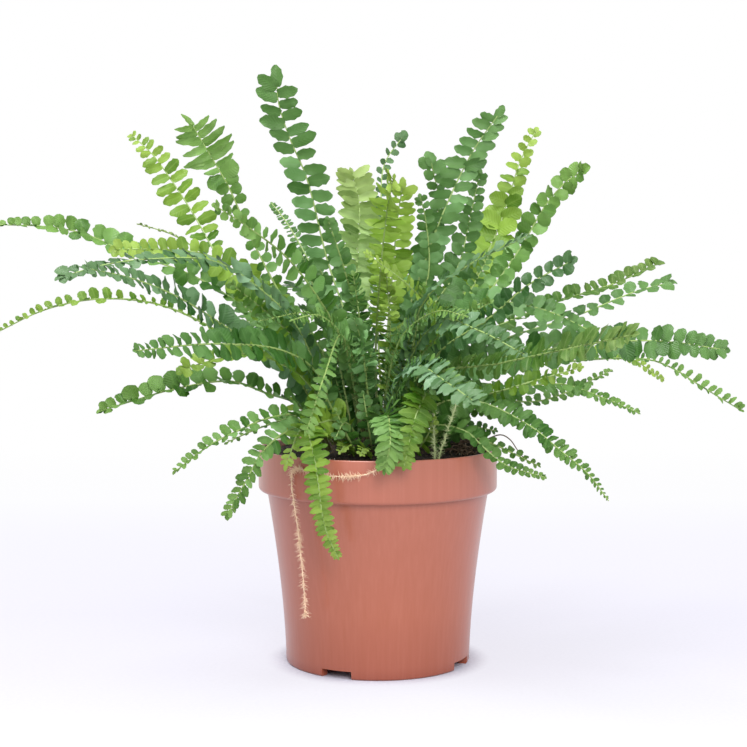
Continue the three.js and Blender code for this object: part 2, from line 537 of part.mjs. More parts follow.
// One frond as a closed solid: the rib's four sides, with a leaflet in place of each side face that
// carries one.
function frondSolid(frond, obstacles) {
  const { row, stations, pairs, firstPair } = frond;
  const corners = stations.flatMap((s) => ribCorners(s, 0));
  const triangles = [[0, 1, 2], [0, 2, 3]];
  for (let i = 0; i + 1 < stations.length; i += 1) {
    const [a, b, c, d] = [0, 1, 2, 3].map((k) => 4 * i + k);
    triangles.push([a, a + 4, b + 4], [a, b + 4, b], [d, c + 4, d + 4], [d, c, c + 4]);
    for (const hand of [1, -1]) {
      const [over, under] = hand > 0 ? [a, d] : [b, c];
      const leaf = i < firstPair ? null : leafFor(stations, i, hand, (i - firstPair + 0.5) / pairs);
      const wall = (p, q, pUnder, qUnder) => {
        const face = [[p, pUnder, qUnder], [p, qUnder, q]];
        triangles.push(...(hand > 0 ? face : face.map(([x, y, z]) => [x, z, y])));
      };
      if (!leaf) {
        wall(over, over + 4, under, under + 4);
        continue;
      }
      const first = corners.length;
      corners.push(...leaf.flat());
      const [la, laUnder, lb, lbUnder] = [first, first + 1, first + 2, first + 3];
      const flats = [[over, la, lb], [over, lb, over + 4], [under, lbUnder, laUnder], [under, under + 4, lbUnder]];
      triangles.push(...(hand > 0 ? flats : flats.map(([x, y, z]) => [x, z, y])));
      wall(over, la, under, laUnder);
      wall(la, lb, laUnder, lbUnder);
      wall(lb, over + 4, lbUnder, under + 4);
    }
  }
  const e = 4 * (stations.length - 1);
  triangles.push([e, e + 2, e + 1], [e, e + 3, e + 2]);
  return solidFrom(corners, triangles);

  function leafFor(all, i, hand, t) {
    const reach = row.leaf * leafShare(t, row.shape ?? USUAL_SHAPE);
    for (const [share, turn] of LIES)
      if (clearOf(leafTrial(all[i], all[i + 1], hand, share * reach, RAISE + turn), obstacles))
        return leafCorners(all[i], all[i + 1], hand, share * reach, RAISE + turn, 0);
    return null;
  }
}

function buildFern() {
  const fern = new THREE.Group();
  const pot = potSolid();
  const runner = barSolid(RUNNER.path, RUNNER.half, RUNNER.sides, RUNNER.steps);
  const [stolonA, stolonB] = STOLONS.paths.map((path) =>
    barSolid(path, STOLONS.half, STOLONS.sides, STOLONS.steps),
  );
  const stolons = stolonA.add(stolonB);

  const free = [...ROOT_PLACES];
  const standing = [pot, runner, stolons].map(obstacle);
  const fronds = FRONDS.map((row) => rootedFrond(row, free, standing));
  const sprigs = SPRIGS.map((row) => rootedFrond(row, free, standing));

  // Each stem stands in a plain hole a little wider than itself.
  let peat = peatSolid();
  let clump = clumpSolid();
  for (const { stations } of fronds) {
    const foot = stations.slice(0, 3).map((s, i) => (i ? s : { ...s, at: s.at.clone().addScaledVector(s.along, -GAP) }));
    const hole = ribSolid(foot, GAP);
    clump = clump.subtract(hole);
    peat = peat.subtract(hole);
  }
  peat = peat.subtract(barSolid(RUNNER.path.slice(0, 4), RUNNER.half + GAP, RUNNER.sides, 8));
  for (const path of STOLONS.paths) peat = peat.subtract(barSolid(path, STOLONS.half + GAP, STOLONS.sides, 8));

  const still = [pot, peat, clump, runner, stolons].map(obstacle);
  const ribs = [...fronds, ...sprigs].map((frond) => frond.rib);
  const built = [];
  const grow = (frond) => {
    const others = ribs.filter((rib) => rib !== frond.rib);
    const solid = frondSolid(frond, [...still, ...others, ...built]);
    built.push(obstacle(solid));
    return solid;
  };

  fern.add(meshOf("pot", pot, COLOURS.pot, 0.45));
  fern.add(meshOf("peat", peat, COLOURS.peat, 0.95));
  for (const frond of fronds)
    fern.add(meshOf("frond_" + frond.row.name, grow(frond), COLOURS[frond.row.tone], 0.5));
  const crown = sprigs.reduce((whole, sprig) => whole.add(grow(sprig)), clump);
  fern.add(meshOf("crown", crown, COLOURS.crown, 0.8));
  fern.add(meshOf("runner", runner, COLOURS.runner, 0.7));
  fern.add(meshOf("stolons", stolons, COLOURS.stolon, 0.7));
  return fern;
}

export default buildFern();
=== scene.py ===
import math

import bpy
import numpy as np
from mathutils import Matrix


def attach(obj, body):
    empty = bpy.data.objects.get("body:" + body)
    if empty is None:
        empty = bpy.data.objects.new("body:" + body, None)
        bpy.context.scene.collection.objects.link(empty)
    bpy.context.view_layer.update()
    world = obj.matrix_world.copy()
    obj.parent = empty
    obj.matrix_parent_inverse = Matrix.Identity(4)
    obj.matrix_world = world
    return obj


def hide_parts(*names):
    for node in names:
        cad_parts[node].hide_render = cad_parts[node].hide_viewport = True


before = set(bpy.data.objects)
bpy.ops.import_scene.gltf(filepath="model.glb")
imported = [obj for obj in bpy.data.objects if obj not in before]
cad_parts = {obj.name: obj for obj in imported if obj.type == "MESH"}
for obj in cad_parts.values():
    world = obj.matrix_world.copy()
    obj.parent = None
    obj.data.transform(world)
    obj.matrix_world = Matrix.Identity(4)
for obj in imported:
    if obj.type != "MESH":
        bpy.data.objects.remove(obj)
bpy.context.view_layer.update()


# The nursery pot: injection-moulded polypropylene in a terracotta colour, a tapered wall with a straight
# rim band over a rounded step, a foot ring with four notches and a raised floor with four drain slots.
# Its sizes, like all below, are in millimetres and degrees.
MM = 0.001
CREASE = 50
POT_SIDES = 180
RIM_RADIUS = 60
POT_HEIGHT = 108
RIM_BAND = 21.5
FOOT_RADIUS = 46.4
NECK_RADIUS = 55.7
FLARE = 1.6
WALL = 1.5
BEND = 2.0
FOOT_WIDTH = 4.5
FLOOR_UNDERSIDE = 4.4
FLOOR_TOP = 6.0
NOTCH_WIDTH = 16
NOTCH_HEIGHT = 4
NOTCH_FIRST = -26
NOTCH_LEAN = 0.12
DRAIN_NEAR = 28.5
DRAIN_FAR = 37.5
DRAIN_HALF_ANGLE = 7.8
NECK_HEIGHT = POT_HEIGHT - RIM_BAND


def linear(colour):
    """An sRGB hex colour as linear red, green, blue and full cover."""
    parts = [int(colour[k:k + 2], 16) / 255 for k in (0, 2, 4)]
    lit = [c / 12.92 if c <= 0.04045 else ((c + 0.055) / 1.055) ** 2.4 for c in parts]
    return (*lit, 1.0)


def add(material, kind, settings=None, stops=(), **links):
    """A shader node of that kind with its settings, and the sRGB colours at the stops of a ramp, fed by
    (node, output) pairs or plain values on its inputs."""
    tree = material.node_tree
    node = tree.nodes.new("ShaderNode" + kind)
    for name, value in (settings or {}).items():
        setattr(node, name, value)
    if stops:
        elements = node.color_ramp.elements
        while len(elements) < len(stops):
            elements.new(1.0)
        for element, (place, colour) in zip(elements, stops):
            element.position = place
            element.color = linear(colour)
    for name, value in links.items():
        socket = node.inputs[int(name[1:])] if name[1:].isdigit() else node.inputs[name.replace("_", " ")]
        if isinstance(value, tuple) and len(value) == 2 and hasattr(value[0], "outputs"):
            tree.links.new(value[0].outputs[value[1]], socket)
        else:
            socket.default_value = value
    return node


def new_material(name):
    """An empty node material and its output node."""
    material = bpy.data.materials.new(name)
    material.use_nodes = True
    material.node_tree.nodes.clear()
    return material, add(material, "OutputMaterial")


def make_piece(name, points, faces, materials, nodes, attributes=None, face_materials=None):
    """A mesh from points in millimetres and faces of one or several sizes, which stands for those nodes."""
    mesh = bpy.data.meshes.new(name)
    mesh.from_pydata((np.asarray(points) * MM).tolist(), [], [f for part in faces for f in part.tolist()])
    for key, values in (attributes or {}).items():
        layer = mesh.attributes.new(key, "FLOAT", "POINT")
        layer.data.foreach_set("value", np.asarray(values, np.float32))
    for material in materials:
        mesh.materials.append(material)
    if face_materials is not None:
        mesh.polygons.foreach_set("material_index", np.asarray(face_materials, np.int32))
    mesh.polygons.foreach_set("use_smooth", np.ones(len(mesh.polygons), bool))
    mesh.update()
    mesh.set_sharp_from_angle(angle=math.radians(CREASE))
    piece = bpy.data.objects.new(name, mesh)
    bpy.context.collection.objects.link(piece)
    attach(piece, "root")
    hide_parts(*nodes)


def ring_faces(rings, columns):
    """Quads between rings of points, where the last column of each ring joins its first."""
    j = np.arange(columns)
    a = np.arange(rings - 1)[:, None] * columns + j
    b = np.arange(rings - 1)[:, None] * columns + (j + 1) % columns
    return np.stack([a, b, b + columns, a + columns], -1).reshape(-1, 4)


def fan(middle, first, columns):
    """Triangles from a middle point to a ring of points that starts at the first."""
    k = np.arange(columns)
    return np.stack([np.full(columns, middle), first + k, first + (k + 1) % columns], -1)


def arc(radius, height, bow, turns):
    """Points of a round stretch: its middle and, by its bow, the cosine and sine of turns in degrees."""
    turns = np.radians(turns)
    return list(zip(radius + bow * np.cos(turns), height + bow * np.sin(turns)))


def wall_radius(z):
    """The wall's outer radius at a height: it flares by a power of the height up to the neck."""
    return FOOT_RADIUS + (NECK_RADIUS - FOOT_RADIUS) * (z / NECK_HEIGHT) ** FLARE


def pot_profile():
    """Radius and height from the floor's underside, round the foot, up the wall, over the rim and down."""
    ring = FOOT_RADIUS - FOOT_WIDTH
    under = [(DRAIN_NEAR, FLOOR_UNDERSIDE), (DRAIN_FAR, FLOOR_UNDERSIDE), (ring, FLOOR_UNDERSIDE)]
    foot = [(ring, 0.4), (ring + 0.4, 0), (FOOT_RADIUS - 1, 0), (FOOT_RADIUS - 0.3, 0.25), (FOOT_RADIUS, 1)]
    up = np.linspace(FLOOR_TOP, NECK_HEIGHT - 1.2, 18)
    wall = [(wall_radius(z), z) for z in up] + [(NECK_RADIUS, NECK_HEIGHT)]
    step = arc(RIM_RADIUS - BEND, NECK_HEIGHT + 0.3 + BEND, BEND, np.linspace(-90, 0, 6))
    lip = arc(RIM_RADIUS - WALL / 2, POT_HEIGHT - WALL / 2, WALL / 2, np.linspace(0, 180, 8))
    inner = [(RIM_RADIUS - WALL, NECK_HEIGHT + 5)] + [(wall_radius(z) - WALL, z) for z in up[::-3]]
    floor = [(FOOT_RADIUS - WALL, FLOOR_TOP), (DRAIN_FAR, FLOOR_TOP), (DRAIN_NEAR, FLOOR_TOP)]
    return np.array(under + foot + wall + step + lip + inner + floor)


def from_nearest(angles, others):
    """Degrees from each angle to the nearest of the others, either way round."""
    return np.abs((angles[:, None] - others + 180) % 360 - 180).min(1)


def pot_surface():
    """The profile turned round the axis on columns that meet every notch and slot edge. Inside a notch the
    foot's points rise to its height; inside a slot both floors are open and a wall joins them."""
    profile = pot_profile()
    notch_half = math.degrees(NOTCH_WIDTH / 2 / FOOT_RADIUS)
    notches = NOTCH_FIRST + 90 * np.arange(4)
    slots = notches + 45
    edges = np.concatenate([notches - notch_half, notches + notch_half])
    edges = np.concatenate([edges - NOTCH_LEAN, edges + NOTCH_LEAN])
    edges = np.concatenate([edges, slots - DRAIN_HALF_ANGLE, slots + DRAIN_HALF_ANGLE])
    angles = np.unique(np.round(np.concatenate([np.arange(0, 360, 360 / POT_SIDES), edges % 360]), 3))
    raised = np.where(from_nearest(angles, notches) < notch_half, NOTCH_HEIGHT, 0)
    radius = np.broadcast_to(profile[:, :1], (len(profile), len(angles)))
    turn = np.radians(angles - 90)
    ring = np.stack([radius * np.cos(turn), radius * np.sin(turn), np.maximum(profile[:, 1:], raised)], -1)
    points = np.concatenate([ring.reshape(-1, 3), [[0, 0, FLOOR_UNDERSIDE], [0, 0, FLOOR_TOP]]])
    columns = len(angles)
    last = len(profile) - 1
    middle = (angles + (np.roll(angles, -1) - angles) % 360 / 2) % 360
    is_open = from_nearest(middle, slots) < DRAIN_HALF_ANGLE
    quads = ring_faces(len(profile), columns).reshape(last, columns, 4)
    keep = np.ones(quads.shape[:2], bool)
    keep[[0, last - 1]] = ~is_open
    j = np.flatnonzero(is_open)
    n = (j + 1) % columns
    first = j[~is_open[j - 1]]
    final = n[~is_open[n]]
    low_near, low_far, up_far, up_near = 0, columns, (last - 1) * columns, last * columns
    walls = [
        np.stack([low_near + n, up_near + n, up_near + j, low_near + j], -1),
        np.stack([low_far + j, up_far + j, up_far + n, low_far + n], -1),
        np.stack([up_near + first, up_far + first, low_far + first, low_near + first], -1),
        np.stack([low_far + final, up_far + final, up_near + final, low_near + final], -1),
    ]
    under = fan(len(points) - 2, 0, columns)[:, ::-1]
    over = fan(len(points) - 1, up_near, columns)
    return points, [quads[keep], *walls, under, over]


def moulded_polypropylene():
    """Satin terracotta polypropylene: soft broad highlights, faint upright flow streaks from moulding, and
    painted shade that darkens it towards the foot.
    """
    material, out = new_material("moulded_polypropylene")
    place = add(material, "TexCoord")
    # Streaks 1.5 mm wide and some 60 mm tall, drawn coarser than the real ones so that they show.
    streak = add(material, "Mapping", Vector=(place, "Object"), Scale=(620, 620, 14))
    flow = add(material, "TexNoise", Vector=(streak, 0), Scale=1.0, Detail=3.0, Roughness=0.6)
    # Its gloss changes over some 45 mm.
    cloud = add(material, "TexNoise", Vector=(place, "Object"), Scale=22.0, Detail=2.0)
    colour = add(material, "ValToRGB", stops=[(0.3, "9A533D"), (0.52, "A05845"), (0.75, "A7614E")],
                 Fac=(flow, 0))
    # Painted shade: the wall darkens towards the foot, where less light reaches it near the floor.
    apart = add(material, "SeparateXYZ", Vector=(place, "Object"))
    rise = add(material, "MapRange", _0=(apart, 2), _1=0.0, _2=0.09, _3=0.0, _4=1.0)
    shade = add(material, "ValToRGB", stops=[(0.0, "843612"), (0.35, "9F553A"), (1.0, "A5604D")],
                Fac=(rise, 0))
    mixed = add(material, "Mix", {"data_type": "RGBA"}, _0=0.55, _6=(colour, 0), _7=(shade, 0))
    rough = add(material, "MapRange", _0=(cloud, 0), _1=0.3, _2=0.7, _3=0.3, _4=0.4)
    bump = add(material, "Bump", Height=(flow, 0), Strength=0.05, Distance=0.0006)
    shader = add(material, "BsdfPrincipled", Base_Color=(mixed, 2), Roughness=(rough, 0),
                 IOR=1.49, Specular_IOR_Level=0.6, Coat_Weight=0.3, Coat_Roughness=0.2, Normal=(bump, 0))
    material.node_tree.links.new(shader.outputs[0], out.inputs[0])
    return material


pot_points, pot_faces = pot_surface()
make_piece("nursery_pot", pot_points, pot_faces, [moulded_polypropylene()], ["pot"])


# The fronds: living leaves of a button fern, each a stiff brown-green rib with two rows of round toothed
# leaflets, light green where young and blue-green where old, and greyer where painted with sheen. Each
# stands in the crown by its foot.
LEAF_ROWS = 8
LEAF_COLUMNS = 5
LEAF_THICK = 0.26
RIB_SIDES = 5
RIB_STEPS = 40
RIB_RADII = (0.9, 0.62, 0.42, 0.28)
RIB_RADII_AT = (0, 0.2, 0.8, 1)
ROOT_LEVEL = 102
ROOT_DEPTH = 2.4
ROOT_SPREAD = 32
# How far from the axis, and from what height over what rise, leaflets are painted lighter: painted light
# against the shade in the middle of the plant.
PAINTED_LIGHT_REACH = 100
PAINTED_LIGHT_FOOT = 105
PAINTED_LIGHT_RISE = 40

# Where the points of a leaflet lie: shares of its length, and of its half width from edge to edge.
LEAF_ALONG = np.array([0, 0.12, 0.3, 0.48, 0.65, 0.8, 0.92, 1])
LEAF_ACROSS = np.array([-1, -0.52, 0, 0.52, 1])

# Outline of each form of leaflet: width as a share of its length, width at the rib as a share of that,
# where it is widest, how blunt its tip is, how far it hooks to the frond's tip and how deep its teeth are.
FORMS = {
    "button": {"width": 0.78, "base": 0.62, "widest": 0.42, "blunt": 2.6, "hook": 0.04, "teeth": 0.07},
    "round": {"width": 0.94, "base": 0.4, "widest": 0.48, "blunt": 2.6, "hook": 0.04, "teeth": 0.06},
    "oblong": {"width": 0.56, "base": 0.55, "widest": 0.42, "blunt": 2.8, "hook": 0.05, "teeth": 0.08},
    "pointed": {"width": 0.66, "base": 0.9, "widest": 0.2, "blunt": 1.7, "hook": 0.06, "teeth": 0.1},
    "lance": {"width": 0.44, "base": 0.6, "widest": 0.4, "blunt": 2.3, "hook": 0.1, "teeth": 0.08},
    "sickle": {"width": 0.36, "base": 0.75, "widest": 0.3, "blunt": 1.9, "hook": 0.24, "teeth": 0.08},
}

# What a frond is unless its row says otherwise. shade multiplies the tone of its leaflets: partly each
# frond's own colour and partly painted light and shade, high for the fronds and sprigs in the shaded middle
# and low for the dark ones deep among the stems. form names their outline, and low_form that of the ones
# below turn, a share of the way up. gap is the distance between them and crowd how much they close up where
# they are smaller.
# share holds their lengths at even steps from foot to tip, and bare is the share of stem without any. raise,
# roll, sweep and skew are the angles by which they rise over the blade, roll, lean to the tip, and lean more
# on one hand than on the other. stray is how much of the angles of SPREAD they take at random, and the last
# ones lean to the tip by TIP_SWEEP more.
HABIT = {"shade": 1, "form": "button", "low_form": "button", "turn": 0, "gap": 6.2, "crowd": 0.8,
         "share": (0.4, 0.65, 0.9, 1, 0.9, 0.7, 0.45), "bare": 0.2, "stray": 0.75,
         "raise": 14, "roll": 8, "sweep": 4, "skew": 0}
SPREAD = {"raise": 11, "roll": 15, "sweep": 7}
TIP_SWEEP = 22

# The short fronds in the middle are ruffled and bare at the foot, and painted lighter against the shade
# there.
RUFFLED = {"shade": 1.5, "leaf": 7.5, "gap": 4.4, "bare": 0.35, "stray": 1.3, "roll": 40}

# Each frond: its tone, what sets it apart, the full length of its leaflets, that of the leaflet at its end
# where it is unlike the last pair, the way its blade faces, and its line above the foot.
FRONDS = [
    {"name": "left_01", "tone": "fresh", "form": "round", "leaf": 9.2, "gap": 7.4,
     "share": (0.6, 0.8, 1, 1, 1.1, 0.8, 0.4), "raise": 34, "face": (0, -0.6, 0.8),
     "path": [(-48, 24, 158), (-93, 34, 192), (-132, 37, 206), (-152, 38, 215), (-171, 37, 219),
              (-196, 30, 220)]},
    {"name": "left_02", "tone": "young", "leaf": 10.5, "gap": 7,
     "share": (0.6, 0.9, 1.05, 1, 0.75, 0.6, 0.5), "face": (0, -0.95, 0.3),
     "path": [(-39, 5, 159), (-66, 8, 190), (-85, 8, 204), (-109, 4, 207), (-132, 0, 207)]},
    {"name": "left_03", "tone": "sheen", "shade": 1.1, "form": "round", "leaf": 9, "gap": 6,
     "share": (0.6, 0.9, 1, 1, 0.85, 0.65, 0.7), "stray": 0.45, "raise": 10, "face": (0, -0.45, 0.9),
     "path": [(-38, -18, 166), (-60, -28, 190), (-78, -38, 201), (-106, -58, 202), (-126, -76, 199),
              (-142, -84, 194)]},
    {"name": "left_04", "tone": "young", "shade": 0.6, "leaf": 6.6, "gap": 7,
     "share": (0.7, 0.9, 0.75, 0.55, 0.95, 0.6, 0.3), "raise": 38, "face": (0, -0.62, 0.78),
     "path": [(-43, -8, 142), (-75, -18, 165), (-106, -24, 180), (-134, -30, 183), (-160, -30, 178),
              (-186, -28, 166)]},
    {"name": "left_05", "tone": "sheen", "shade": 1.1, "form": "round", "leaf": 9.6, "gap": 6.6,
     "share": (0.7, 0.95, 1, 0.95, 0.8, 0.6, 0.5), "stray": 0.45, "face": (0, -0.75, 0.6),
     "path": [(-41, -30, 148), (-58, -40, 160), (-74, -50, 172), (-93, -70, 185.5), (-110, -88, 193.5),
              (-127, -106, 198)]},
    {"name": "left_06", "tone": "deep", "shade": 0.8, "form": "round", "leaf": 9.6, "gap": 7,
     "share": (0.7, 1, 1, 1, 0.9, 0.65, 0.35), "stray": 0.45, "face": (0.5, -0.7, 0.5),
     "path": [(-28, -36, 145), (-42, -62, 159), (-71, -104, 165), (-101, -141, 164)]},
    {"name": "left_07", "tone": "fresh", "shade": 1.1, "form": "round", "leaf": 8.6, "gap": 6.4,
     "share": (0.65, 0.75, 0.8, 0.95, 1, 0.9, 0.5), "raise": 40, "face": (0, -0.65, 0.76),
     "path": [(-38, -22, 130), (-54, -36, 138), (-70, -42, 144), (-96, -50, 141), (-114, -53, 136),
              (-130, -55, 131)]},
    {"name": "left_08", "tone": "young", "shade": 0.5, "form": "round", "leaf": 7.4,
     "share": (1.7, 1.6, 1.3, 1.1, 1, 0.95, 0.8), "raise": 30, "face": (0, -0.7, 0.7),
     "path": [(-33, -35, 142), (-57, -62, 158), (-72, -78, 157), (-87, -88, 153)]},
    {"name": "left_09", "tone": "fresh", "shade": 1.5, "leaf": 6.6, "gap": 5.4,
     "share": (0.8, 1, 1, 1, 0.85, 0.6, 0.4), "raise": 40, "face": (0, -0.65, 0.76),
     "path": [(-35, -33, 126), (-51, -46, 127), (-65, -54, 122), (-79, -58, 115), (-95, -62, 103)]},
    {"name": "left_10", "tone": "fresh", "shade": 1.7, "form": "oblong", "leaf": 7, "gap": 4,
     "share": (1.3, 1.3, 1.2, 1.05, 0.95, 0.85, 0.55), "sweep": 18, "face": (-0.4, -0.85, 0.35),
     "path": [(-29, -34, 121), (-42, -46, 121), (-54, -53, 112), (-62, -55, 98), (-71, -56, 82)]},
    {"name": "top_01", "tone": "young", "shade": 0.8, "form": "oblong", "leaf": 11, "gap": 7.4,
     "share": (0.6, 0.85, 1, 1, 0.95, 0.8, 0.5, 0.3), "bare": 0.62, "stray": 0.6, "sweep": -4,
     "face": (0.1, -0.95, 0.3),
     "path": [(-24, 18, 150), (-56, 22, 176), (-80, 28, 200), (-97, 44, 226), (-108, 52, 242),
              (-120, 57, 258), (-132, 60, 269)]},
    {"name": "top_02", "tone": "fresh", "form": "sickle", "low_form": "round", "turn": 0.82, "leaf": 14.5,
     "gap": 3.8, "crowd": -0.5, "share": (0.36, 0.38, 0.38, 0.38, 0.38, 0.38, 0.38, 0.38, 0.6, 1.0, 0.65),
     "sweep": -22, "face": (0.1, -0.95, 0.3),
     "path": [(-22, 3, 151), (-44, 2, 177), (-62, 0, 210), (-74, -5, 238), (-82, -6, 252),
              (-92, -8, 269)]},
    {"name": "top_03", "tone": "fresh", "shade": 1.2, "form": "round", "leaf": 8.4, "gap": 6.4,
     "share": (0.5, 0.8, 1, 1, 0.9, 0.7, 0.4), "stray": 1, "face": (0.3, -0.85, 0.3),
     "path": [(-13, -17, 148), (-22, -30, 172), (-41, -52, 201), (-57, -72, 215), (-73, -86, 226)]},
    {"name": "top_04", "tone": "deep", "form": "oblong", "leaf": 12, "gap": 6.8,
     "share": (0.6, 0.75, 0.9, 1, 1.02, 1, 0.95), "end": 11, "sweep": -4, "skew": -16,
     "face": (0, -1, 0.1),
     "path": [(-13, 14, 161), (-26, 24, 202), (-36.5, 22, 244), (-45, 20, 264), (-50.5, 17, 282),
              (-51, 15, 291)]},
    {"name": "top_05", "tone": "pale", "shade": 1.5, "form": "lance", "leaf": 13.5, "gap": 3.6,
     "share": (0.6, 0.8, 0.9, 1, 1, 0.95, 0.8), "end": 5, "bare": 0.5, "sweep": -8,
     "face": (0.4, -0.9, 0.1), "path": [(-12, 50, 165), (-11, 77, 206), (-10, 86, 232), (-14, 90, 250)]},
    {"name": "top_06", "tone": "pale", "leaf": 4.5, "gap": 5, "face": (-0.3, 0.2, 0.9),
     "path": [(-31, 45, 144), (-72, 72, 186), (-112, 90, 215), (-134, 92, 222)]},
    {"name": "top_07", "tone": "sheen", "leaf": 5.8, "gap": 6, "crowd": 0.2,
     "share": (0.8, 0.9, 1, 0.9, 0.7, 0.7, 0.9), "end": 7, "face": (0.5, -0.8, 0.2),
     "path": [(0, 60, 176), (2, 95, 224), (4, 108, 256), (14, 112, 271)]},
    {"name": "top_08", "tone": "young", "shade": 1.7, "form": "lance", "leaf": 9.4, "gap": 3.1,
     "share": (0.4, 0.45, 0.6, 0.85, 1, 1, 0.8), "end": 4, "bare": 0.42, "stray": 1.2, "sweep": 0,
     "face": (0, -0.85, 0.5), "path": [(-1, -6, 157), (1, -26, 193), (4, -44, 223), (7, -66, 239)]},
    {"name": "top_09", "tone": "young", "form": "oblong", "leaf": 6.5, "gap": 3.8,
     "face": (0.6, -0.7, 0.5), "path": [(14, -9, 144), (28, -20, 172), (15, -38, 189), (-6, -50, 205)]},
    {"name": "top_10", "tone": "deep", "leaf": 9.2, "gap": 6,
     "share": (0.5, 0.7, 0.85, 0.95, 0.8, 0.5, 1.1), "end": 8, "face": (0.3, -0.9, 0.3),
     "path": [(11, 25, 166), (27, 38, 207), (32, 40, 231), (28, 36, 252)]},
    {"name": "top_11", "tone": "deep", "leaf": 7.8, "face": (0, -0.95, 0.2),
     "path": [(9, 8, 161), (25, 5, 192), (24, 0, 221), (21, -6, 233)]},
    {"name": "top_12", "tone": "deep", "form": "oblong", "leaf": 11, "gap": 6,
     "share": (0.55, 0.7, 0.8, 0.9, 1, 1, 0.8), "end": 8, "sweep": -8, "skew": 30,
     "face": (0.1, -0.95, 0.2),
     "path": [(12, 13, 161), (24, 20, 200), (33.5, 18, 226), (48.5, 21, 257), (61, 20, 275)]},
    {"name": "top_13", "tone": "deep", "leaf": 9.8, "gap": 6.6, "face": (0.2, -0.9, 0.3),
     "path": [(18, 25, 160), (42, 45, 197), (49, 50, 224), (54, 48, 248)]},
    {"name": "top_14", "tone": "young", "shade": 1.3, "leaf": 13, "gap": 7.6, "crowd": 0.3,
     "share": (0.45, 0.6, 0.9, 1, 0.9, 0.55, 0.35), "skew": 20, "face": (-0.1, -0.95, 0.2),
     "path": [(24, 31, 160), (50, 50, 190), (64, 64, 216), (72, 70, 238), (78, 76, 256), (87, 80, 273)]},
    {"name": "top_15", "tone": "fresh", "form": "round", "leaf": 7.8, "gap": 5.4,
     "share": (0.8, 0.9, 1, 1, 1, 1, 0.9), "face": (-0.3, -0.9, 0.35),
     "path": [(21, 2, 152), (50, 10, 178), (72, 14, 207), (85.5, 13, 230), (95, 10, 241),
              (103, 4, 246.5)]},
    {"name": "top_16", "tone": "sheen", "leaf": 8, "gap": 5.6, "share": (0.7, 0.9, 1, 1, 0.9, 0.8, 0.6),
     "face": (-0.2, -0.4, 0.9), "path": [(12, -18, 150), (23, -46, 184), (41, -66, 199), (66, -86, 212)]},
    {"name": "right_01", "tone": "sheen", "shade": 0.2, "form": "round", "leaf": 7.4, "gap": 6,
     "share": (0.9, 1, 1, 1, 1, 0.95, 0.8), "face": (0, -0.85, 0.5),
     "path": [(28, -14, 153), (54, -30, 174), (72, -38, 190), (91, -44, 201)]},
    {"name": "right_02", "tone": "deep", "leaf": 9.6, "gap": 6, "share": (0.8, 1, 1, 1, 0.9, 0.75, 0.5),
     "face": (0, -0.7, 0.7), "path": [(29, -3, 157), (50, -14, 180), (79, -22, 178), (104, -26, 167)]},
    {"name": "right_03", "tone": "pale", "shade": 0, "form": "round", "leaf": 7, "gap": 6,
     "share": (1, 1, 1, 1, 0.95, 0.9, 0.8), "raise": 36, "face": (0, -0.65, 0.76),
     "path": [(32, 22, 150), (70, 40, 170), (100, 52, 181), (128, 66, 189), (155, 80, 200)]},
    {"name": "right_04", "tone": "deep", "form": "round", "leaf": 7.8, "gap": 7.4, "crowd": 0.2,
     "share": (1.1, 1.1, 1, 1, 0.9, 0.9, 0.9), "raise": 10, "face": (0, -0.35, 0.94),
     "path": [(32, 11, 148), (70, 20, 163), (103, 27, 173), (136, 38, 185.5), (154, 42, 190)]},
    {"name": "right_05", "tone": "deep", "shade": 0.85, "leaf": 10, "gap": 6,
     "share": (1, 1.1, 1.05, 1, 1, 0.9, 0.55), "sweep": 0, "face": (0, -0.95, 0.35),
     "path": [(31, -6, 145), (70, -12, 155), (109, -15, 161), (140, -19, 162), (169.5, -22, 158)]},
    {"name": "right_06", "tone": "pale", "shade": 0.1, "form": "oblong", "leaf": 8, "gap": 4.6,
     "share": (0.6, 0.8, 1, 1.05, 1.1, 1.1, 0.9), "stray": 0.9, "sweep": 20, "face": (-0.6, -0.6, 0.55),
     "path": [(20, -26, 142), (56, -66, 154), (81, -110, 163), (103, -150, 171)]},
    {"name": "right_07", "tone": "fresh", "form": "oblong", "leaf": 7, "gap": 5.4,
     "share": (1, 1, 0.8, 0.5, 0.5, 0.9, 0.6), "raise": 38, "face": (0, -0.62, 0.78),
     "path": [(32, 4, 138), (84, 18, 148), (141, 32, 150), (156, 35, 144.5), (167, 36, 137.5),
              (192, 38, 122.5)]},
    {"name": "right_08", "tone": "young", "form": "round", "leaf": 5.4, "gap": 5.4, "face": (0, -0.8, 0.6),
     "path": [(35, 24, 140), (97, 48, 152), (134, 64, 150), (157, 72, 136)]},
    {"name": "right_09", "tone": "fresh", "shade": 0.7, "leaf": 7, "gap": 5,
     "share": (1.4, 1.4, 1.3, 1.1, 0.9, 0.6, 0.35), "face": (0.1, -0.6, 0.8),
     "path": [(29, -10, 131), (62, 0, 136), (93, 6, 139), (114, 8, 132), (133, 7, 124)]},
    {"name": "right_10", "tone": "fresh", "shade": 0.5, "form": "oblong", "leaf": 8, "gap": 3.6,
     "crowd": 0.3, "share": (1.5, 1.45, 1.25, 1.05, 0.95, 0.85, 0.65, 0.45, 0.15), "sweep": 10,
     "face": (0.5, -0.8, 0.4),
     "path": [(28, -18, 130), (48, -26, 133), (73, -34, 122), (88, -37, 110), (101, -38, 99),
              (111, -38, 86)]},
    {"name": "right_11", "tone": "fresh", "shade": 0.6, "form": "round", "leaf": 5, "gap": 4.2,
     "share": (1.5, 1.5, 1.3, 1.1, 0.9, 0.7, 0.45), "face": (0.4, -0.75, 0.5),
     "path": [(25, -30, 121), (42, -42, 120), (50, -46, 113), (60, -49, 105), (79, -50, 99)]},
    {"name": "front_01", "tone": "sheen", "shade": 1.7, "form": "pointed", "leaf": 7.6, "gap": 4.2,
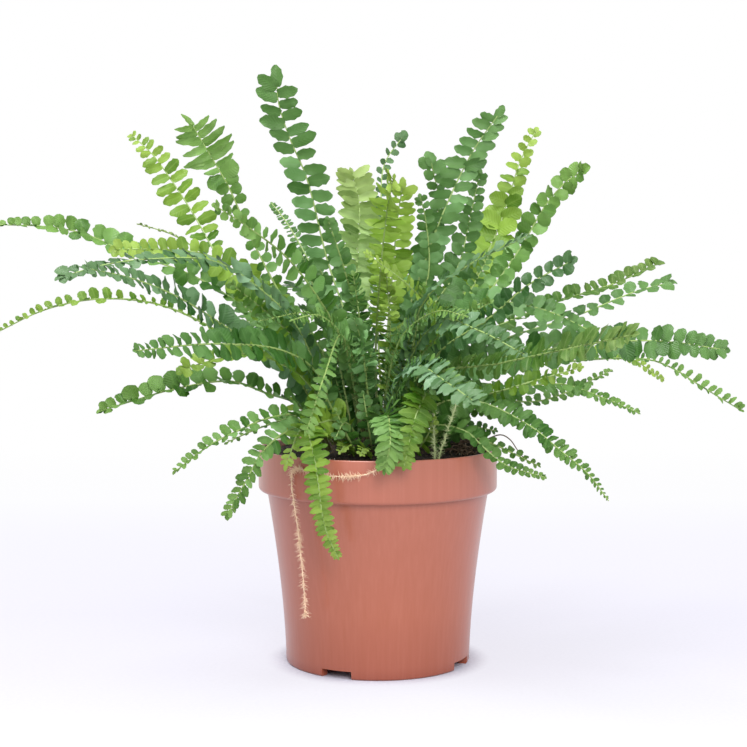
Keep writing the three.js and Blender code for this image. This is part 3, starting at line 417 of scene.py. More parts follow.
     "share": (0.7, 0.8, 0.95, 1.1, 1.2, 1.1, 0.9), "stray": 0.45, "face": (-0.3, -0.6, 0.75),
     "path": [(9, -32, 142), (19, -56, 152), (31, -82, 146.5), (42, -98, 139.5)]},
    {"name": "front_02", "tone": "fresh", "shade": 1.1, "form": "lance", "leaf": 10.5, "gap": 2.7,
     "share": (0.7, 1, 1, 1, 0.95, 0.75, 0.45), "stray": 0.45, "sweep": 20, "face": (0, -1, 0.2),
     "path": [(3, -40, 126), (5, -58, 127.5), (5.5, -69, 117), (3, -71, 106)]},
    {"name": "front_03", "tone": "young", "shade": 0.2, "form": "pointed", "leaf": 9, "gap": 4,
     "face": (0.2, -0.9, 0.4),
     "path": [(13, -36, 128), (22, -55, 139), (18, -63, 131), (15, -67, 121), (12, -69, 107)]},
    {"name": "front_04", "tone": "sheen", "leaf": 8.4, "gap": 6, "face": (-0.4, -0.6, 0.7),
     "path": [(15, -24, 152), (30, -50, 173), (45, -80, 170), (63, -112, 161)]},
    {"name": "front_05", "tone": "young", "shade": 0.9, "form": "pointed", "leaf": 8, "gap": 3.9,
     "share": (1, 1.05, 0.95, 0.85, 0.76, 0.6, 0.3), "stray": 0.5, "sweep": -6, "face": (0, -1, 0.25),
     "path": [(-20, -34, 124), (-32, -54, 121), (-29, -66, 108), (-24.6, -66, 78), (-18.6, -63, 62.5)]},
    {"name": "middle_01", "tone": "fresh", **RUFFLED, "face": (0, -0.9, 0.4),
     "path": [(-30, -10, 150), (-50, -15, 172), (-72, -15, 190)]},
    {"name": "middle_02", "tone": "deep", **RUFFLED, "face": (-0.1, -0.9, 0.3),
     "path": [(-18, -5, 156), (-30, -8, 184), (-38, -12, 206)]},
    {"name": "middle_03", "tone": "deep", **RUFFLED, "face": (0, -0.75, 0.6),
     "path": [(-5, -28, 138), (-8, -50, 164), (-11, -70, 175)]},
    {"name": "middle_04", "tone": "fresh", **RUFFLED, "face": (-0.2, -0.9, 0.4),
     "path": [(16, -22, 146), (32, -36, 168), (53, -48, 182)]},
    {"name": "back_01", "tone": "fresh", "leaf": 9, "face": (-0.3, 0.4, 0.85),
     "path": [(-24, 36, 140), (-52, 76, 160), (-74, 102, 166), (-96, 124, 156)]},
    {"name": "back_02", "tone": "deep", "leaf": 9, "face": (-0.2, 0.6, 0.75),
     "path": [(-17, 38, 150), (-38, 82, 182), (-52, 114, 186), (-64, 144, 172)]},
    {"name": "back_03", "tone": "fresh", "leaf": 9, "face": (0, 0.7, 0.7),
     "path": [(-3, 37, 140), (-12, 80, 162), (-18, 118, 160), (-20, 150, 140)]},
    {"name": "back_04", "tone": "deep", "leaf": 9, "face": (0.1, 0.6, 0.8),
     "path": [(8, 38, 146), (18, 84, 176), (26, 116, 178), (34, 146, 164)]},
    {"name": "back_05", "tone": "fresh", "leaf": 9, "face": (0.3, 0.5, 0.8),
     "path": [(20, 36, 138), (48, 78, 160), (66, 106, 160), (84, 132, 146)]},
    {"name": "back_06", "tone": "young", "leaf": 8, "face": (0.2, 0.9, 0.4),
     "path": [(16, 42, 122), (26, 66, 126), (34, 84, 112), (38, 94, 92)]},
    {"name": "back_07", "tone": "young", "leaf": 8, "face": (-0.3, 0.9, 0.4),
     "path": [(-20, 38, 124), (-36, 58, 128), (-48, 76, 114), (-56, 86, 94)]},
    {"name": "back_08", "tone": "deep", "leaf": 9.5, "share": (0.6, 0.8, 0.8, 0.7, 0.5, 0.35, 0.25),
     "face": (-0.4, 0.8, 0.4), "path": [(-16, 24, 158), (-38, 50, 204), (-49, 63, 222), (-58, 76, 233)]},
    {"name": "back_09", "tone": "sheen", "leaf": 6.6, "gap": 6.6, "face": (0.3, 0.8, 0.5),
     "path": [(20, 40, 152), (44, 82, 186), (58, 104, 196), (74, 124, 194)]},
]


def unit(v):
    """Vectors of length one."""
    return v / np.maximum(np.linalg.norm(v, axis=-1, keepdims=True), 1e-9)


def smooth_line(points, shares):
    """Places and directions at shares of the length of a centripetal Catmull-Rom line: on each stretch a
    cubic meets both points, its slopes weighted by the square roots of the chords."""
    p = np.asarray(points, float)
    p = np.concatenate([[2 * p[0] - p[1]], p, [2 * p[-1] - p[-2]]])
    chord = np.maximum(np.linalg.norm(np.diff(p, axis=0), axis=1), 1e-4)[:, None] ** 0.5
    a, b, c = chord[:-2], chord[1:-1], chord[2:]
    p0, p1, p2, p3 = p[:-3], p[1:-2], p[2:-1], p[3:]
    slope1 = ((p1 - p0) / a - (p2 - p0) / (a + b) + (p2 - p1) / b) * b
    slope2 = ((p2 - p1) / b - (p3 - p1) / (b + c) + (p3 - p2) / c) * b
    t = np.linspace(0, 1, 60)[:, None, None]
    bends = [p1, slope1, -3 * p1 + 3 * p2 - 2 * slope1 - slope2, 2 * p1 - 2 * p2 + slope1 + slope2]
    dense = bends[0] + bends[1] * t + bends[2] * t ** 2 + bends[3] * t ** 3
    dense = dense.transpose(1, 0, 2).reshape(-1, 3)
    far = np.concatenate([[0], np.cumsum(np.linalg.norm(np.diff(dense, axis=0), axis=1))])
    shares = np.asarray(shares)

    def place(ways):
        """The line's points at shares of its length."""
        return np.stack([np.interp(ways * far[-1], far, dense[:, k]) for k in range(3)], -1)

    along = place(np.minimum(shares + 0.01, 1)) - place(np.maximum(shares - 0.01, 0))
    return place(shares), unit(along), far[-1]


def tube(place, along, radius, sides):
    """A closed bar: a round section at each place, square to the way along, with a flat cap at both ends."""
    spare = np.where(np.abs(along[:1, 2:]) > 0.9, [[1.0, 0, 0]], [[0, 0, 1.0]])
    side = unit(np.cross(along, spare))
    over = np.cross(side, along)
    turn = 2 * np.pi * np.arange(sides)[:, None] / sides
    circle = np.cos(turn) * side[:, None] + np.sin(turn) * over[:, None]
    ring = place[:, None] + np.broadcast_to(radius, (len(place),))[:, None, None] * circle
    start = np.arange(sides)[None]
    end = start[:, ::-1] + (len(place) - 1) * sides
    return ring.reshape(-1, 3), ring_faces(len(place), sides)[:, ::-1], [start, end]


def leaf_template():
    """Faces of one leaflet: an upper and a lower grid that share their border, numbered from 0."""
    top = np.arange(LEAF_ROWS * LEAF_COLUMNS).reshape(LEAF_ROWS, LEAF_COLUMNS)
    under = top.copy()
    inner = (LEAF_ROWS - 2) * (LEAF_COLUMNS - 2)
    under[1:-1, 1:-1] = top.size + np.arange(inner).reshape(LEAF_ROWS - 2, -1)
    up = np.stack([top[:-1, :-1], top[1:, :-1], top[1:, 1:], top[:-1, 1:]], -1).reshape(-1, 4)
    down = np.stack([under[:-1, :-1], under[:-1, 1:], under[1:, 1:], under[1:, :-1]], -1).reshape(-1, 4)
    return np.concatenate([up, down]), top.size + inner


LEAF_FACES, LEAF_POINTS = leaf_template()


def leaf_outline(form):
    """Half width along a leaflet: it widens by a quarter of a sine, then closes by a power to a blunt tip,
    and every other row stands in by the depth of the teeth."""
    a = LEAF_ALONG
    opening = form["base"] + (1 - form["base"]) * np.sin(np.pi / 2 * np.minimum(1, a / form["widest"]))
    beyond = np.clip((a - form["widest"]) / (1 - form["widest"]), 0, 1)
    closing = np.maximum(1 - beyond ** form["blunt"], 0) ** (0.55 if form["blunt"] > 1.5 else 0.9)
    width = np.maximum(opening * closing, 0.2)
    return form["width"] / 2 * width * (1 + form["teeth"] * np.where(np.arange(LEAF_ROWS) % 2, 1, -1))


def leaflets(place, out, lead, over, length, forms, random):
    """Leaflets as thin lenses. A point lies out along its leaflet and aside by the outline's half width;
    it bends down by the square of its way out, folds up from the midrib, and ripples at the edge."""
    count = len(place)
    a = LEAF_ALONG[None, :, None]
    b = LEAF_ACROSS[None, None, :]
    half = np.stack([leaf_outline(form) for form in forms])[..., None]
    hook = np.array([form["hook"] for form in forms])[:, None, None]
    bow = random.uniform(-0.06, 0.3, (count, 1, 1))
    fold = random.uniform(-0.15, 0.4, (count, 1, 1))
    twist = random.normal(0, 0.3, (count, 1, 1))
    ripple = random.uniform(0, 2 * np.pi, (count, 1, 1))
    ragged = 1 + random.normal(0, 0.05, (count, LEAF_ROWS, 1)) * np.sign(b)
    size = length[:, None, None]
    x = np.broadcast_to(size * a, (count, LEAF_ROWS, LEAF_COLUMNS))
    y = size * (half * b * ragged + hook * a ** 2)
    wavy = 0.035 * np.abs(b) * np.sin(ripple + 10 * a + 2 * b)
    z = size * (-bow * a ** 2 + fold * half * np.abs(b) + twist * half * a * b + wavy)
    thick = LEAF_THICK / 2 * (1 - b ** 2) * np.minimum(1, 6 * a * (1 - a))
    flat = [v[:, None, None, :] for v in (out, lead, over)]
    middle = place[:, None, None] + x[..., None] * flat[0] + y[..., None] * flat[1] + z[..., None] * flat[2]
    lift = np.broadcast_to(thick, z.shape)[..., None] * flat[2]
    upper = (middle + lift).reshape(count, -1, 3)
    lower = (middle - lift)[:, 1:-1, 1:-1].reshape(count, -1, 3)
    points = np.concatenate([upper, lower], 1)

    def both(values):
        """A value of the upper grid repeated for the lower one."""
        values = np.broadcast_to(values, z.shape)
        return np.concatenate([values.reshape(count, -1), values[:, 1:-1, 1:-1].reshape(count, -1)], 1)

    return points, both(a), both(b)


def leaflet_rhythm(row, length, random):
    """Shares of the blade, hands and lengths of two rows of leaflets, the second half a step ahead. A step
    is shorter by a power of the leaflets' share of their full length."""
    even = np.linspace(0, 1, 60)
    grown = np.interp(even, np.linspace(0, 1, len(row["share"])), row["share"])
    room = np.concatenate([[0], np.cumsum(1 / grown[1:] ** row["crowd"])])
    pairs = max(4, round(length * (1 - row["bare"]) / row["gap"] * room[-1] / (len(room) - 1)))
    k = np.arange(pairs) + 0.3
    k = np.concatenate([k, k + 0.5]) + random.uniform(-0.1, 0.1, 2 * pairs)
    t = np.interp(np.clip(k / pairs, 0, 0.99) * room[-1], room, even)
    size = row["leaf"] * np.interp(t, even, grown) * random.uniform(0.84, 1.08, len(t))
    return t, np.repeat([1.0, -1.0], pairs), size


def turned(one, other, degrees):
    """Two directions square to each other, turned in their plane, the first towards the second."""
    angle = np.radians(degrees)[:, None]
    return np.cos(angle) * one + np.sin(angle) * other, np.cos(angle) * other - np.sin(angle) * one


def leaflet_stands(row, line, t, hand, random):
    """Places of the leaflets and their ways out, ahead and up. Each stands square to the rib in the blade,
    then is raised over it, swept to the tip and rolled. One more ends the rib, in line with it."""
    at, way, _ = smooth_line(line, row["bare"] + (1 - row["bare"]) * np.minimum(t, 0.985))
    face = unit(np.array(row["face"], float))
    over = unit(face - way * (way @ face)[:, None])
    side = np.cross(way, over) * hand[:, None]
    lean = row["raise"] + random.normal(0, SPREAD["raise"] * row["stray"], len(t))
    sweep = row["sweep"] + hand * row["skew"] + TIP_SWEEP * t ** 3
    sweep = sweep + random.normal(0, SPREAD["sweep"] * row["stray"], len(t))
    roll = row["roll"] + random.normal(0, SPREAD["roll"] * row["stray"], len(t))
    out, top = turned(side, over, lean)
    out, lead = turned(out, way, sweep)
    lead, top = turned(lead, top, roll)
    end, end_way, _ = smooth_line(line, [0.99])
    end_over = unit(face - end_way * (end_way @ face)[:, None])
    last = (end, end_way, np.cross(end_over, end_way), end_over)
    return [np.concatenate(pair) for pair in zip((at, out, lead, top), last)]


def leaflet_tones_and_painted_light(at, shade, random):
    """Tones at random, with painted light: leaflets near the axis, in the shade of the others, are painted
    lighter and differ more, by their nearness times their height, so that the oldest ones low down stay dark
    in their shade."""
    inner = np.clip(1 - np.hypot(at[:, 0], at[:, 1]) / PAINTED_LIGHT_REACH, 0, 1)
    inner = inner * np.clip((at[:, 2] - PAINTED_LIGHT_FOOT) / PAINTED_LIGHT_RISE, 0, 1)
    return shade * (random.uniform(0.05, 0.95, len(at)) * (1 + 0.96 * inner) + 0.3 * inner)


def frond_surface(row, foot, seed):
    """A frond: a rib that thins to its tip along its line, and the leaflets on both its hands. Each point
    keeps its share of the way out and aside, its leaflet's tone with its painted light, and its share of the
    way up the frond."""
    row = {**HABIT, **row}
    random = np.random.default_rng(seed)
    line = [foot, *row["path"]]
    steps = np.linspace(0, 1, RIB_STEPS)
    place, along, length = smooth_line(line, steps)
    rib, rib_quads, rib_caps = tube(place, along, np.interp(steps, RIB_RADII_AT, RIB_RADII), RIB_SIDES)
    t, hand, size = leaflet_rhythm(row, length, random)
    at, out, lead, top = leaflet_stands(row, line, t, hand, random)
    t = np.append(t, 1)
    size = np.append(size, row.get("end", 0.85 * row["leaf"] * row["share"][-1]))
    forms = [FORMS[row["low_form" if share < row["turn"] else "form"]] for share in t]
    points, a, b = leaflets(at, out, lead, top, size, forms, random)
    leaf_quads = len(rib) + LEAF_POINTS * np.arange(len(at))[:, None, None] + LEAF_FACES
    # A leaflet on the other hand is mirrored, so its faces are turned round to look outwards again.
    mirrored = np.einsum("ij,ij->i", np.cross(out, lead), top) < 0
    leaf_quads = np.where(mirrored[:, None, None], leaf_quads[..., ::-1], leaf_quads).reshape(-1, 4)
    tone = leaflet_tones_and_painted_light(at, row["shade"], random)
    bar = np.repeat(steps, RIB_SIDES)
    data = {
        "leaf_out": np.concatenate([bar, a.ravel()]),
        "leaf_aside": np.concatenate([0 * bar, b.ravel()]),
        "leaf_tone": np.concatenate([0 * bar + 0.5, np.repeat(tone, LEAF_POINTS)]),
        "leaf_age": np.concatenate([bar, np.repeat(t, LEAF_POINTS)]),
    }
    kinds = np.repeat([1, 0, 1], [len(rib_quads), len(leaf_quads), len(rib_caps)])
    return np.concatenate([rib, points.reshape(-1, 3)]), [rib_quads, leaf_quads, *rib_caps], data, kinds


def joined(parts):
    """Several surfaces as one: points in a row, faces moved on by the points before them, kinds kept."""
    first = np.cumsum([0] + [len(part[0]) for part in parts])
    points = np.concatenate([part[0] for part in parts])
    faces = [group + start for part, start in zip(parts, first) for group in part[1]]
    data = {key: np.concatenate([part[2][key] for part in parts]) for key in parts[0][2]}
    return points, faces, data, np.concatenate([part[3] for part in parts])


def fern_blade(name, dark, light, painted_light, young, vein, gloss):
    """Living fern blade: waxy, so it shines softly; light green along the midrib and where it is young, and
    a little light passes through it. Its most lit leaflets take a painted light colour, lighter and paler."""
    material, out = new_material(name)
    tone = add(material, "Attribute", {"attribute_name": "leaf_tone"})
    age = add(material, "Attribute", {"attribute_name": "leaf_age"})
    way_out = add(material, "Attribute", {"attribute_name": "leaf_out"})
    aside = add(material, "Attribute", {"attribute_name": "leaf_aside"})
    place = add(material, "TexCoord")
    # Blotches some 6 mm across.
    blotch = add(material, "TexNoise", Vector=(place, "Object"), Scale=160.0, Detail=2.0)
    blend = add(material, "Math", {"operation": "MULTIPLY_ADD"}, _0=(blotch, 0), _1=0.33, _2=-0.07)
    total = add(material, "Math", {"operation": "MULTIPLY_ADD"}, _0=(tone, 2), _1=0.6, _2=(blend, 0))
    # The last stop is painted light, a lit copy of the colour, for the lightest leaflets.
    body = add(material, "ValToRGB", stops=[(0.07, dark), (0.57, light), (1.0, painted_light)], Fac=(total, 0))
    pale = add(material, "MapRange", _0=(total, 0), _1=0.07, _2=0.33, _3=0.2, _4=0.75)
    tip = add(material, "MapRange", _0=(age, 2), _1=0.55, _2=1.0, _3=0.0, _4=(pale, 0))
    aged = add(material, "Mix", {"data_type": "RGBA"}, _0=(tip, 0), _6=(body, 0), _7=linear(young))
    far = add(material, "Math", {"operation": "ABSOLUTE"}, _0=(aside, 2))
    midrib = add(material, "MapRange", _0=(far, 0), _1=0.03, _2=0.18, _3=0.3, _4=0.0)
    # Side veins every 1.2 mm of a leaflet of 8.5 mm, slanting from the midrib to the edge.
    slant = add(material, "Math", {"operation": "MULTIPLY_ADD"}, _0=(far, 0), _1=-0.3, _2=(way_out, 2))
    wave = add(material, "Math", {"operation": "MULTIPLY"}, _0=(slant, 0), _1=44.0)
    comb = add(material, "Math", {"operation": "SINE"}, _0=(wave, 0))
    veins = add(material, "MapRange", _0=(comb, 0), _1=0.3, _2=1.0, _3=0.0, _4=0.12)
    lines = add(material, "Math", {"operation": "MAXIMUM"}, _0=(midrib, 0), _1=(veins, 0))
    colour = add(material, "Mix", {"data_type": "RGBA"}, _0=(lines, 0), _6=(aged, 2), _7=linear(vein))
    bump = add(material, "Bump", Height=(comb, 0), Strength=0.25, Distance=0.0003)
    shader = add(material, "BsdfPrincipled", Base_Color=(colour, 2), Roughness=gloss, IOR=1.45,
                 Specular_IOR_Level=0.5, Normal=(bump, 0))
    lit = add(material, "Mix", {"data_type": "RGBA"}, _0=0.5, _6=(colour, 2), _7=linear(young))
    through = add(material, "BsdfTranslucent", Color=(lit, 2))
    both = add(material, "MixShader", _0=0.5, _1=(shader, 0), _2=(through, 0))
    material.node_tree.links.new(both.outputs[0], out.inputs[0])
    return material


def fern_stem():
    """Fern stipe and rib: a wiry stem, brown at the foot and light green towards the tip, slightly shiny."""
    material, out = new_material("fern_stem")
    along = add(material, "Attribute", {"attribute_name": "leaf_out"})
    colour = add(material, "ValToRGB", stops=[(0.0, "4A3C1E"), (0.3, "8AA25C"), (1.0, "8AA25C")],
                 Fac=(along, 2))
    shader = add(material, "BsdfPrincipled", Base_Color=(colour, 0), Roughness=0.5, IOR=1.45)
    material.node_tree.links.new(shader.outputs[0], out.inputs[0])
    return material


def stem_foot(node):
    """The middle of a solid stem's foot: of its own points near the root level, inside the crown."""
    flat = np.empty(3 * len(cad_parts[node].data.vertices), np.float32)
    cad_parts[node].data.vertices.foreach_get("co", flat)
    points = np.unique(np.round(flat.reshape(-1, 3) / MM, 2), axis=0)
    inside = np.hypot(points[:, 0], points[:, 1]) < ROOT_SPREAD
    return points[inside & (np.abs(points[:, 2] - ROOT_LEVEL) < ROOT_DEPTH)].mean(0)


stem = fern_stem()
# Each kind of blade: its dark, light and painted light colours, young tips, veins and roughness. The sheen
# blades' greyer colour is a painted sheen; the pale ones are partly their own light green and partly painted
# light of fronds lit from behind.
blades = {
    "young": fern_blade("fern_blade_young", "407809", "94B842", "AED05E", "ADC562", "B0D06C", 0.42),
    "fresh": fern_blade("fern_blade_fresh", "25640A", "79A656", "96C47A", "8CB05A", "8EBC62", 0.4),
    "deep": fern_blade("fern_blade_deep", "215A0A", "6B9852", "88B876", "729C56", "76A65C", 0.38),
    "pale": fern_blade("fern_blade_pale", "396D15", "98B86C", "B4D28C", "B2C578", "B6CC86", 0.45),
    "sheen": fern_blade("fern_blade_sheen", "245D18", "709866", "9CC29C", "759868", "84A67C", 0.33),
}
for number, row in enumerate(FRONDS):
    node = "frond_" + row["name"]
    points, faces, data, kinds = frond_surface(row, stem_foot(node), 100 + number)
    make_piece("fern_" + row["name"], points, faces, [blades[row["tone"]], stem], [node],
               data, kinds)


# The crown: a low clump of dark brown rhizome with papery scales, grown from the peat, with short young
# sprigs and thin fronds that rise from it among the stems of the big ones.
CROWN_SIDES = 72
CROWN_RADIUS = 33.2
CROWN_TOP = 114
CROWN_EDGE = 106
CROWN_FOOT = 100

# What a sprig is where it is unlike a frond, and what the slender ones at the front and the dark ones deep
# among the stems share: the slender ones are painted light, as highlights, and the dark ones painted shade.
# A sprig's foot is at the root level, half as far out as its line's first point.
SPRIG = {"tone": "fresh", "gap": 5.5}
SLENDER = {"shade": 1.6, "form": "lance", "gap": 2.8, "roll": 30}
SHADED = {"tone": "deep", "shade": 0.2, "leaf": 7, "gap": 3.4}
SPRIGS = [
    {"tone": "young", "form": "oblong", "leaf": 7.5, "gap": 4.6, "end": 4, "face": (-0.3, -0.9, 0.4),
     "path": [(-24, -38, 122), (-36, -50, 122), (-43, -56, 106)]},
    {"form": "pointed", "leaf": 6, "gap": 4.4, "share": (0.2, 0.2, 0.2, 0.3, 0.6, 0.9, 1, 0.7),
     "face": (0.5, -0.8, 0.3),
     "path": [(-13, -20, 146), (-18, -38, 166), (-25, -58, 148), (-33, -72, 123)]},
    {"tone": "deep", "leaf": 6.5, "gap": 4, "roll": 40, "face": (0.2, -0.7, 0.6),
     "path": [(-21, -22, 158), (-31, -46, 176), (-54, -74, 174)]},
    {"shade": 1.5, "leaf": 7, "face": (0, -0.9, 0.3),
     "path": [(-28, -3, 156), (-46, -8, 178), (-60, -8, 191)]},
    {"tone": "deep", "shade": 1.5, "leaf": 6.5, "face": (0, -0.9, 0.3),
     "path": [(-38, 14, 138), (-61, 38, 158), (-77, 50, 184)]},
    {"leaf": 4.5, "face": (0.2, -0.3, 0.9), "path": [(-34, -13, 124), (-54, -22, 121), (-74, -28, 113)]},
    {"tone": "deep", "leaf": 5, "face": (0.3, -0.9, 0.2),
     "path": [(-17, 31, 165), (-27, 38, 190), (-36, 40, 208)]},
    {"tone": "young", "form": "oblong", "leaf": 9.5, "gap": 4.2, "share": (0.5, 0.8, 1, 1, 1, 0.9, 0.8),
     "bare": 0.5, "face": (0.2, -0.9, 0.3),
     "path": [(5, 6, 166), (8, 2, 202), (10, -6, 224), (12, -14, 237)]},
    {"tone": "deep", "leaf": 6, "gap": 5.4, "face": (0, -0.95, 0.2),
     "path": [(26, 8, 156), (43, 12, 179), (57, 14, 205)]},
    {"leaf": 5.5, "face": (0, -0.6, 0.8), "path": [(32, 16, 130), (86, 36, 128), (125, 50, 143)]},
    {"leaf": 5.5, "face": (0.2, -0.6, 0.8), "path": [(34, -18, 118), (52, -28, 114), (78, -30, 102)]},
    {"tone": "deep", "leaf": 8, "face": (0.3, -0.9, 0.3),
     "path": [(-9, -8, 165), (-16, -22, 196), (-24, -34, 221)]},
    {"leaf": 6, "face": (-0.2, -0.9, 0.3), "path": [(-14, -38, 116), (-20, -44, 130)]},
    {"tone": "deep", "leaf": 6, "face": (0, -0.9, 0.3), "path": [(-4, -34, 118), (-7, -42, 138)]},
    {"tone": "young", "leaf": 6, "face": (0.1, -0.9, 0.3), "path": [(22, -34, 114), (27, -42, 126)]},
    {"tone": "deep", "leaf": 7, "face": (0.4, -0.7, 0.5), "path": [(31, -8, 112), (45, -9, 120)]},
    {"tone": "deep", "leaf": 7, "face": (-0.6, -0.3, 0.7), "path": [(-34, 8, 114), (-48, 12, 122)]},
    {"leaf": 6, "face": (0.3, 0.8, 0.5), "path": [(-5, 36, 115), (-8, 47, 126)]},
    {"tone": "deep", "leaf": 6.5, "face": (0.2, -0.8, 0.5),
     "path": [(-10, -28, 116), (-16, -40, 124), (-20, -48, 118)]},
    {"tone": "deep", "leaf": 6.5, "face": (-0.2, -0.8, 0.5),
     "path": [(2, -30, 118), (4, -42, 126), (8, -50, 120)]},
    {"tone": "deep", "leaf": 6.5, "face": (0.2, -0.9, 0.3),
     "path": [(-20, -26, 124), (-27, -34, 140), (-34, -40, 150)]},
    {"tone": "deep", "leaf": 6.5, "face": (-0.2, -0.9, 0.3),
     "path": [(10, -24, 124), (14, -34, 138), (22, -40, 150)]},
    {"tone": "deep", "leaf": 6, "face": (0, -0.9, 0.3),
     "path": [(-4, -20, 130), (-6, -28, 144), (-3, -34, 158)]},
    {"leaf": 6.5, "face": (0.3, -0.8, 0.5), "path": [(30, -12, 118), (46, -20, 128), (60, -24, 126)]},
    {"tone": "young", "leaf": 5, "gap": 3.4, "face": (0, -0.8, 0.6),
     "path": [(-14, -34, 110), (-16, -44, 113), (-18, -50, 111)]},
    {"tone": "young", "leaf": 5, "gap": 3.4, "face": (0.2, -0.8, 0.6),
     "path": [(-6, -34, 109), (-7, -44, 112), (-8, -50, 110)]},
    # The rolled sprigs in the middle are painted lighter, against the shade there.
    {"shade": 1.7, "leaf": 7, "gap": 3.2, "stray": 1.3, "roll": 72, "face": (0.1, -0.9, 0.4),
     "path": [(-6, -10, 130), (-8, -20, 165), (-12, -26, 195)]},
    {"tone": "young", "shade": 0.8, "leaf": 7, "gap": 3.4, "stray": 1.3, "roll": 72,
     "face": (0, -0.9, 0.4), "path": [(4, -12, 130), (6, -24, 165), (4, -30, 196)]},
    {"shade": 1.7, "leaf": 6, "gap": 3.6, "stray": 1.3, "roll": 50, "face": (-0.2, -0.9, 0.4),
     "path": [(10, -16, 130), (18, -28, 165), (22, -36, 190)]},
    {"shade": 1.7, "leaf": 5.5, "gap": 3.6, "stray": 1.3, "roll": 50, "face": (-0.3, -0.8, 0.5),
     "path": [(16, -20, 126), (32, -34, 146), (46, -46, 156)]},
    {"tone": "young", "shade": 0.4, "leaf": 6.5, "gap": 5.2, "stray": 1.4, "face": (0.1, -0.8, 0.5),
     "path": [(36, -14, 128), (66, -26, 140), (98, -32, 150)]},
    {"tone": "deep", "shade": 0.4, "leaf": 5, "gap": 4.4, "face": (0.1, -0.8, 0.5),
     "path": [(30, 2, 112), (48, 6, 117), (60, 8, 115)]},
    {**SLENDER, "leaf": 8, "face": (-0.3, -0.7, 0.6),
     "path": [(6, -22, 126), (14, -44, 146), (26, -62, 152), (36, -76, 146)]},
    {**SLENDER, "leaf": 7, "face": (-0.4, -0.7, 0.6),
     "path": [(4, -20, 136), (12, -40, 166), (28, -58, 178), (40, -70, 176)]},
    {**SLENDER, "leaf": 6.5, "face": (0.3, -0.7, 0.6),
     "path": [(-8, -20, 136), (-16, -40, 164), (-28, -56, 176), (-40, -66, 174)]},
    {**SHADED, "face": (0.1, -0.9, 0.3), "path": [(-14, -2, 116), (-18, -4, 132), (-22, -6, 146)]},
    {**SHADED, "face": (0, -0.9, 0.3), "path": [(-2, 4, 116), (-4, 6, 134), (-5, 8, 150)]},
    {**SHADED, "face": (-0.1, -0.9, 0.3), "path": [(12, 0, 116), (15, -2, 132), (18, -4, 146)]},
]


def knobby_dome():
    """A low dome closed below: its height falls by the square of the radius, with knobs of 1 to 2 mm."""
    radius = np.concatenate([[CROWN_RADIUS, CROWN_RADIUS], np.arange(31, 3, -3), [1.5]])[:, None]
    turn = 2 * np.pi * np.arange(CROWN_SIDES)[None] / CROWN_SIDES
    x, y = radius * np.cos(turn), radius * np.sin(turn)
    knobs = 0.9 * np.sin(0.55 * x + 1.1) * np.cos(0.6 * y) + 0.7 * np.sin(1.3 * x + 0.9 * y)
    height = CROWN_TOP - (CROWN_TOP - CROWN_EDGE) * (radius / CROWN_RADIUS) ** 2 + knobs
    height[:2] = [[CROWN_FOOT], [CROWN_EDGE - 0.5]]
    ring = np.stack([x, y, height], -1).reshape(-1, 3)
    points = np.concatenate([ring, [[0, 0, CROWN_FOOT], [0, 0, CROWN_TOP]]])
    base = fan(len(ring), 0, CROWN_SIDES)[:, ::-1]
    cap = fan(len(ring) + 1, len(ring) - CROWN_SIDES, CROWN_SIDES)
    faces = [ring_faces(len(radius), CROWN_SIDES), base, cap]
    names = ("leaf_out", "leaf_aside", "leaf_tone", "leaf_age")
    return points, faces, {name: np.zeros(len(points)) for name in names}, np.full(sum(map(len, faces)), 2)


def scaly_rhizome():
    """Rhizome bark: matt dark brown fibres with paler scales, which catch the light on their edges."""
    material, out = new_material("scaly_rhizome")
    place = add(material, "TexCoord")
    # Scales some 1.5 mm across.
    scale = add(material, "TexNoise", Vector=(place, "Object"), Scale=650.0, Detail=4.0)
    colour = add(material, "ValToRGB", stops=[(0.35, "17120D"), (0.55, "33261A"), (0.8, "6B5232")],
                 Fac=(scale, 0))
    bump = add(material, "Bump", Height=(scale, 0), Strength=0.9, Distance=0.0015)
    shader = add(material, "BsdfPrincipled", Base_Color=(colour, 0), Roughness=0.9, Normal=(bump, 0))
    material.node_tree.links.new(shader.outputs[0], out.inputs[0])
    return material


CROWN_SKINS = {"fresh": 0, "young": 3, "deep": 4}
crown_parts = [knobby_dome()]
for number, row in enumerate(SPRIGS):
    row = {**SPRIG, **row}
    start = row["path"][0]
    root = (start[0] / 2, start[1] / 2, ROOT_LEVEL)
    points, faces, data, kinds = frond_surface(row, root, 300 + number)
    crown_parts.append((points, faces, data, np.where(kinds == 0, CROWN_SKINS[row["tone"]], kinds)))
points, faces, data, kinds = joined(crown_parts)
crown_skins = [blades["fresh"], stem, scaly_rhizome(), blades["young"], blades["deep"]]
make_piece("fern_crown", points, faces, crown_skins, ["crown"], data, kinds)


# The peat: dark sphagnum and bark crumbs with white grit, pressed into the pot to just under its rim and
# heaped with brown root fibres at the right, where one loose root arches over the rim.
PEAT_SIDES = 150
PEAT_EDGE = POT_HEIGHT - 4.5
PEAT_SHOULDER = 107
PEAT_BED = 102.5
PEAT_FOOT = FLOOR_TOP + 0.3
HEAP_TURN = math.radians(35)
HEAP_RISE = 5
FIBRE_TURN = math.radians(15)
FIBRE_NEAR = 36
FIBRE_FAR = 56
LOOSE_ROOT = [(46, -10, 108.5), (54, -13, 113), (61, -15, 115.5), (65.5, -15, 113), (69, -15.5, 108),
              (73, -16, 103)]


def peat_level(radius, turn):
    """Height of the peat: it falls evenly from the crown to the rim, with a heap round one angle that fades
    by a power of the cosine."""
    share = np.clip((radius - CROWN_RADIUS) / (RIM_RADIUS - CROWN_RADIUS), 0, 1)
    heap = np.maximum(0, np.cos(turn - HEAP_TURN)) ** 3
    return PEAT_SHOULDER + (PEAT_EDGE - PEAT_SHOULDER) * share + HEAP_RISE * heap


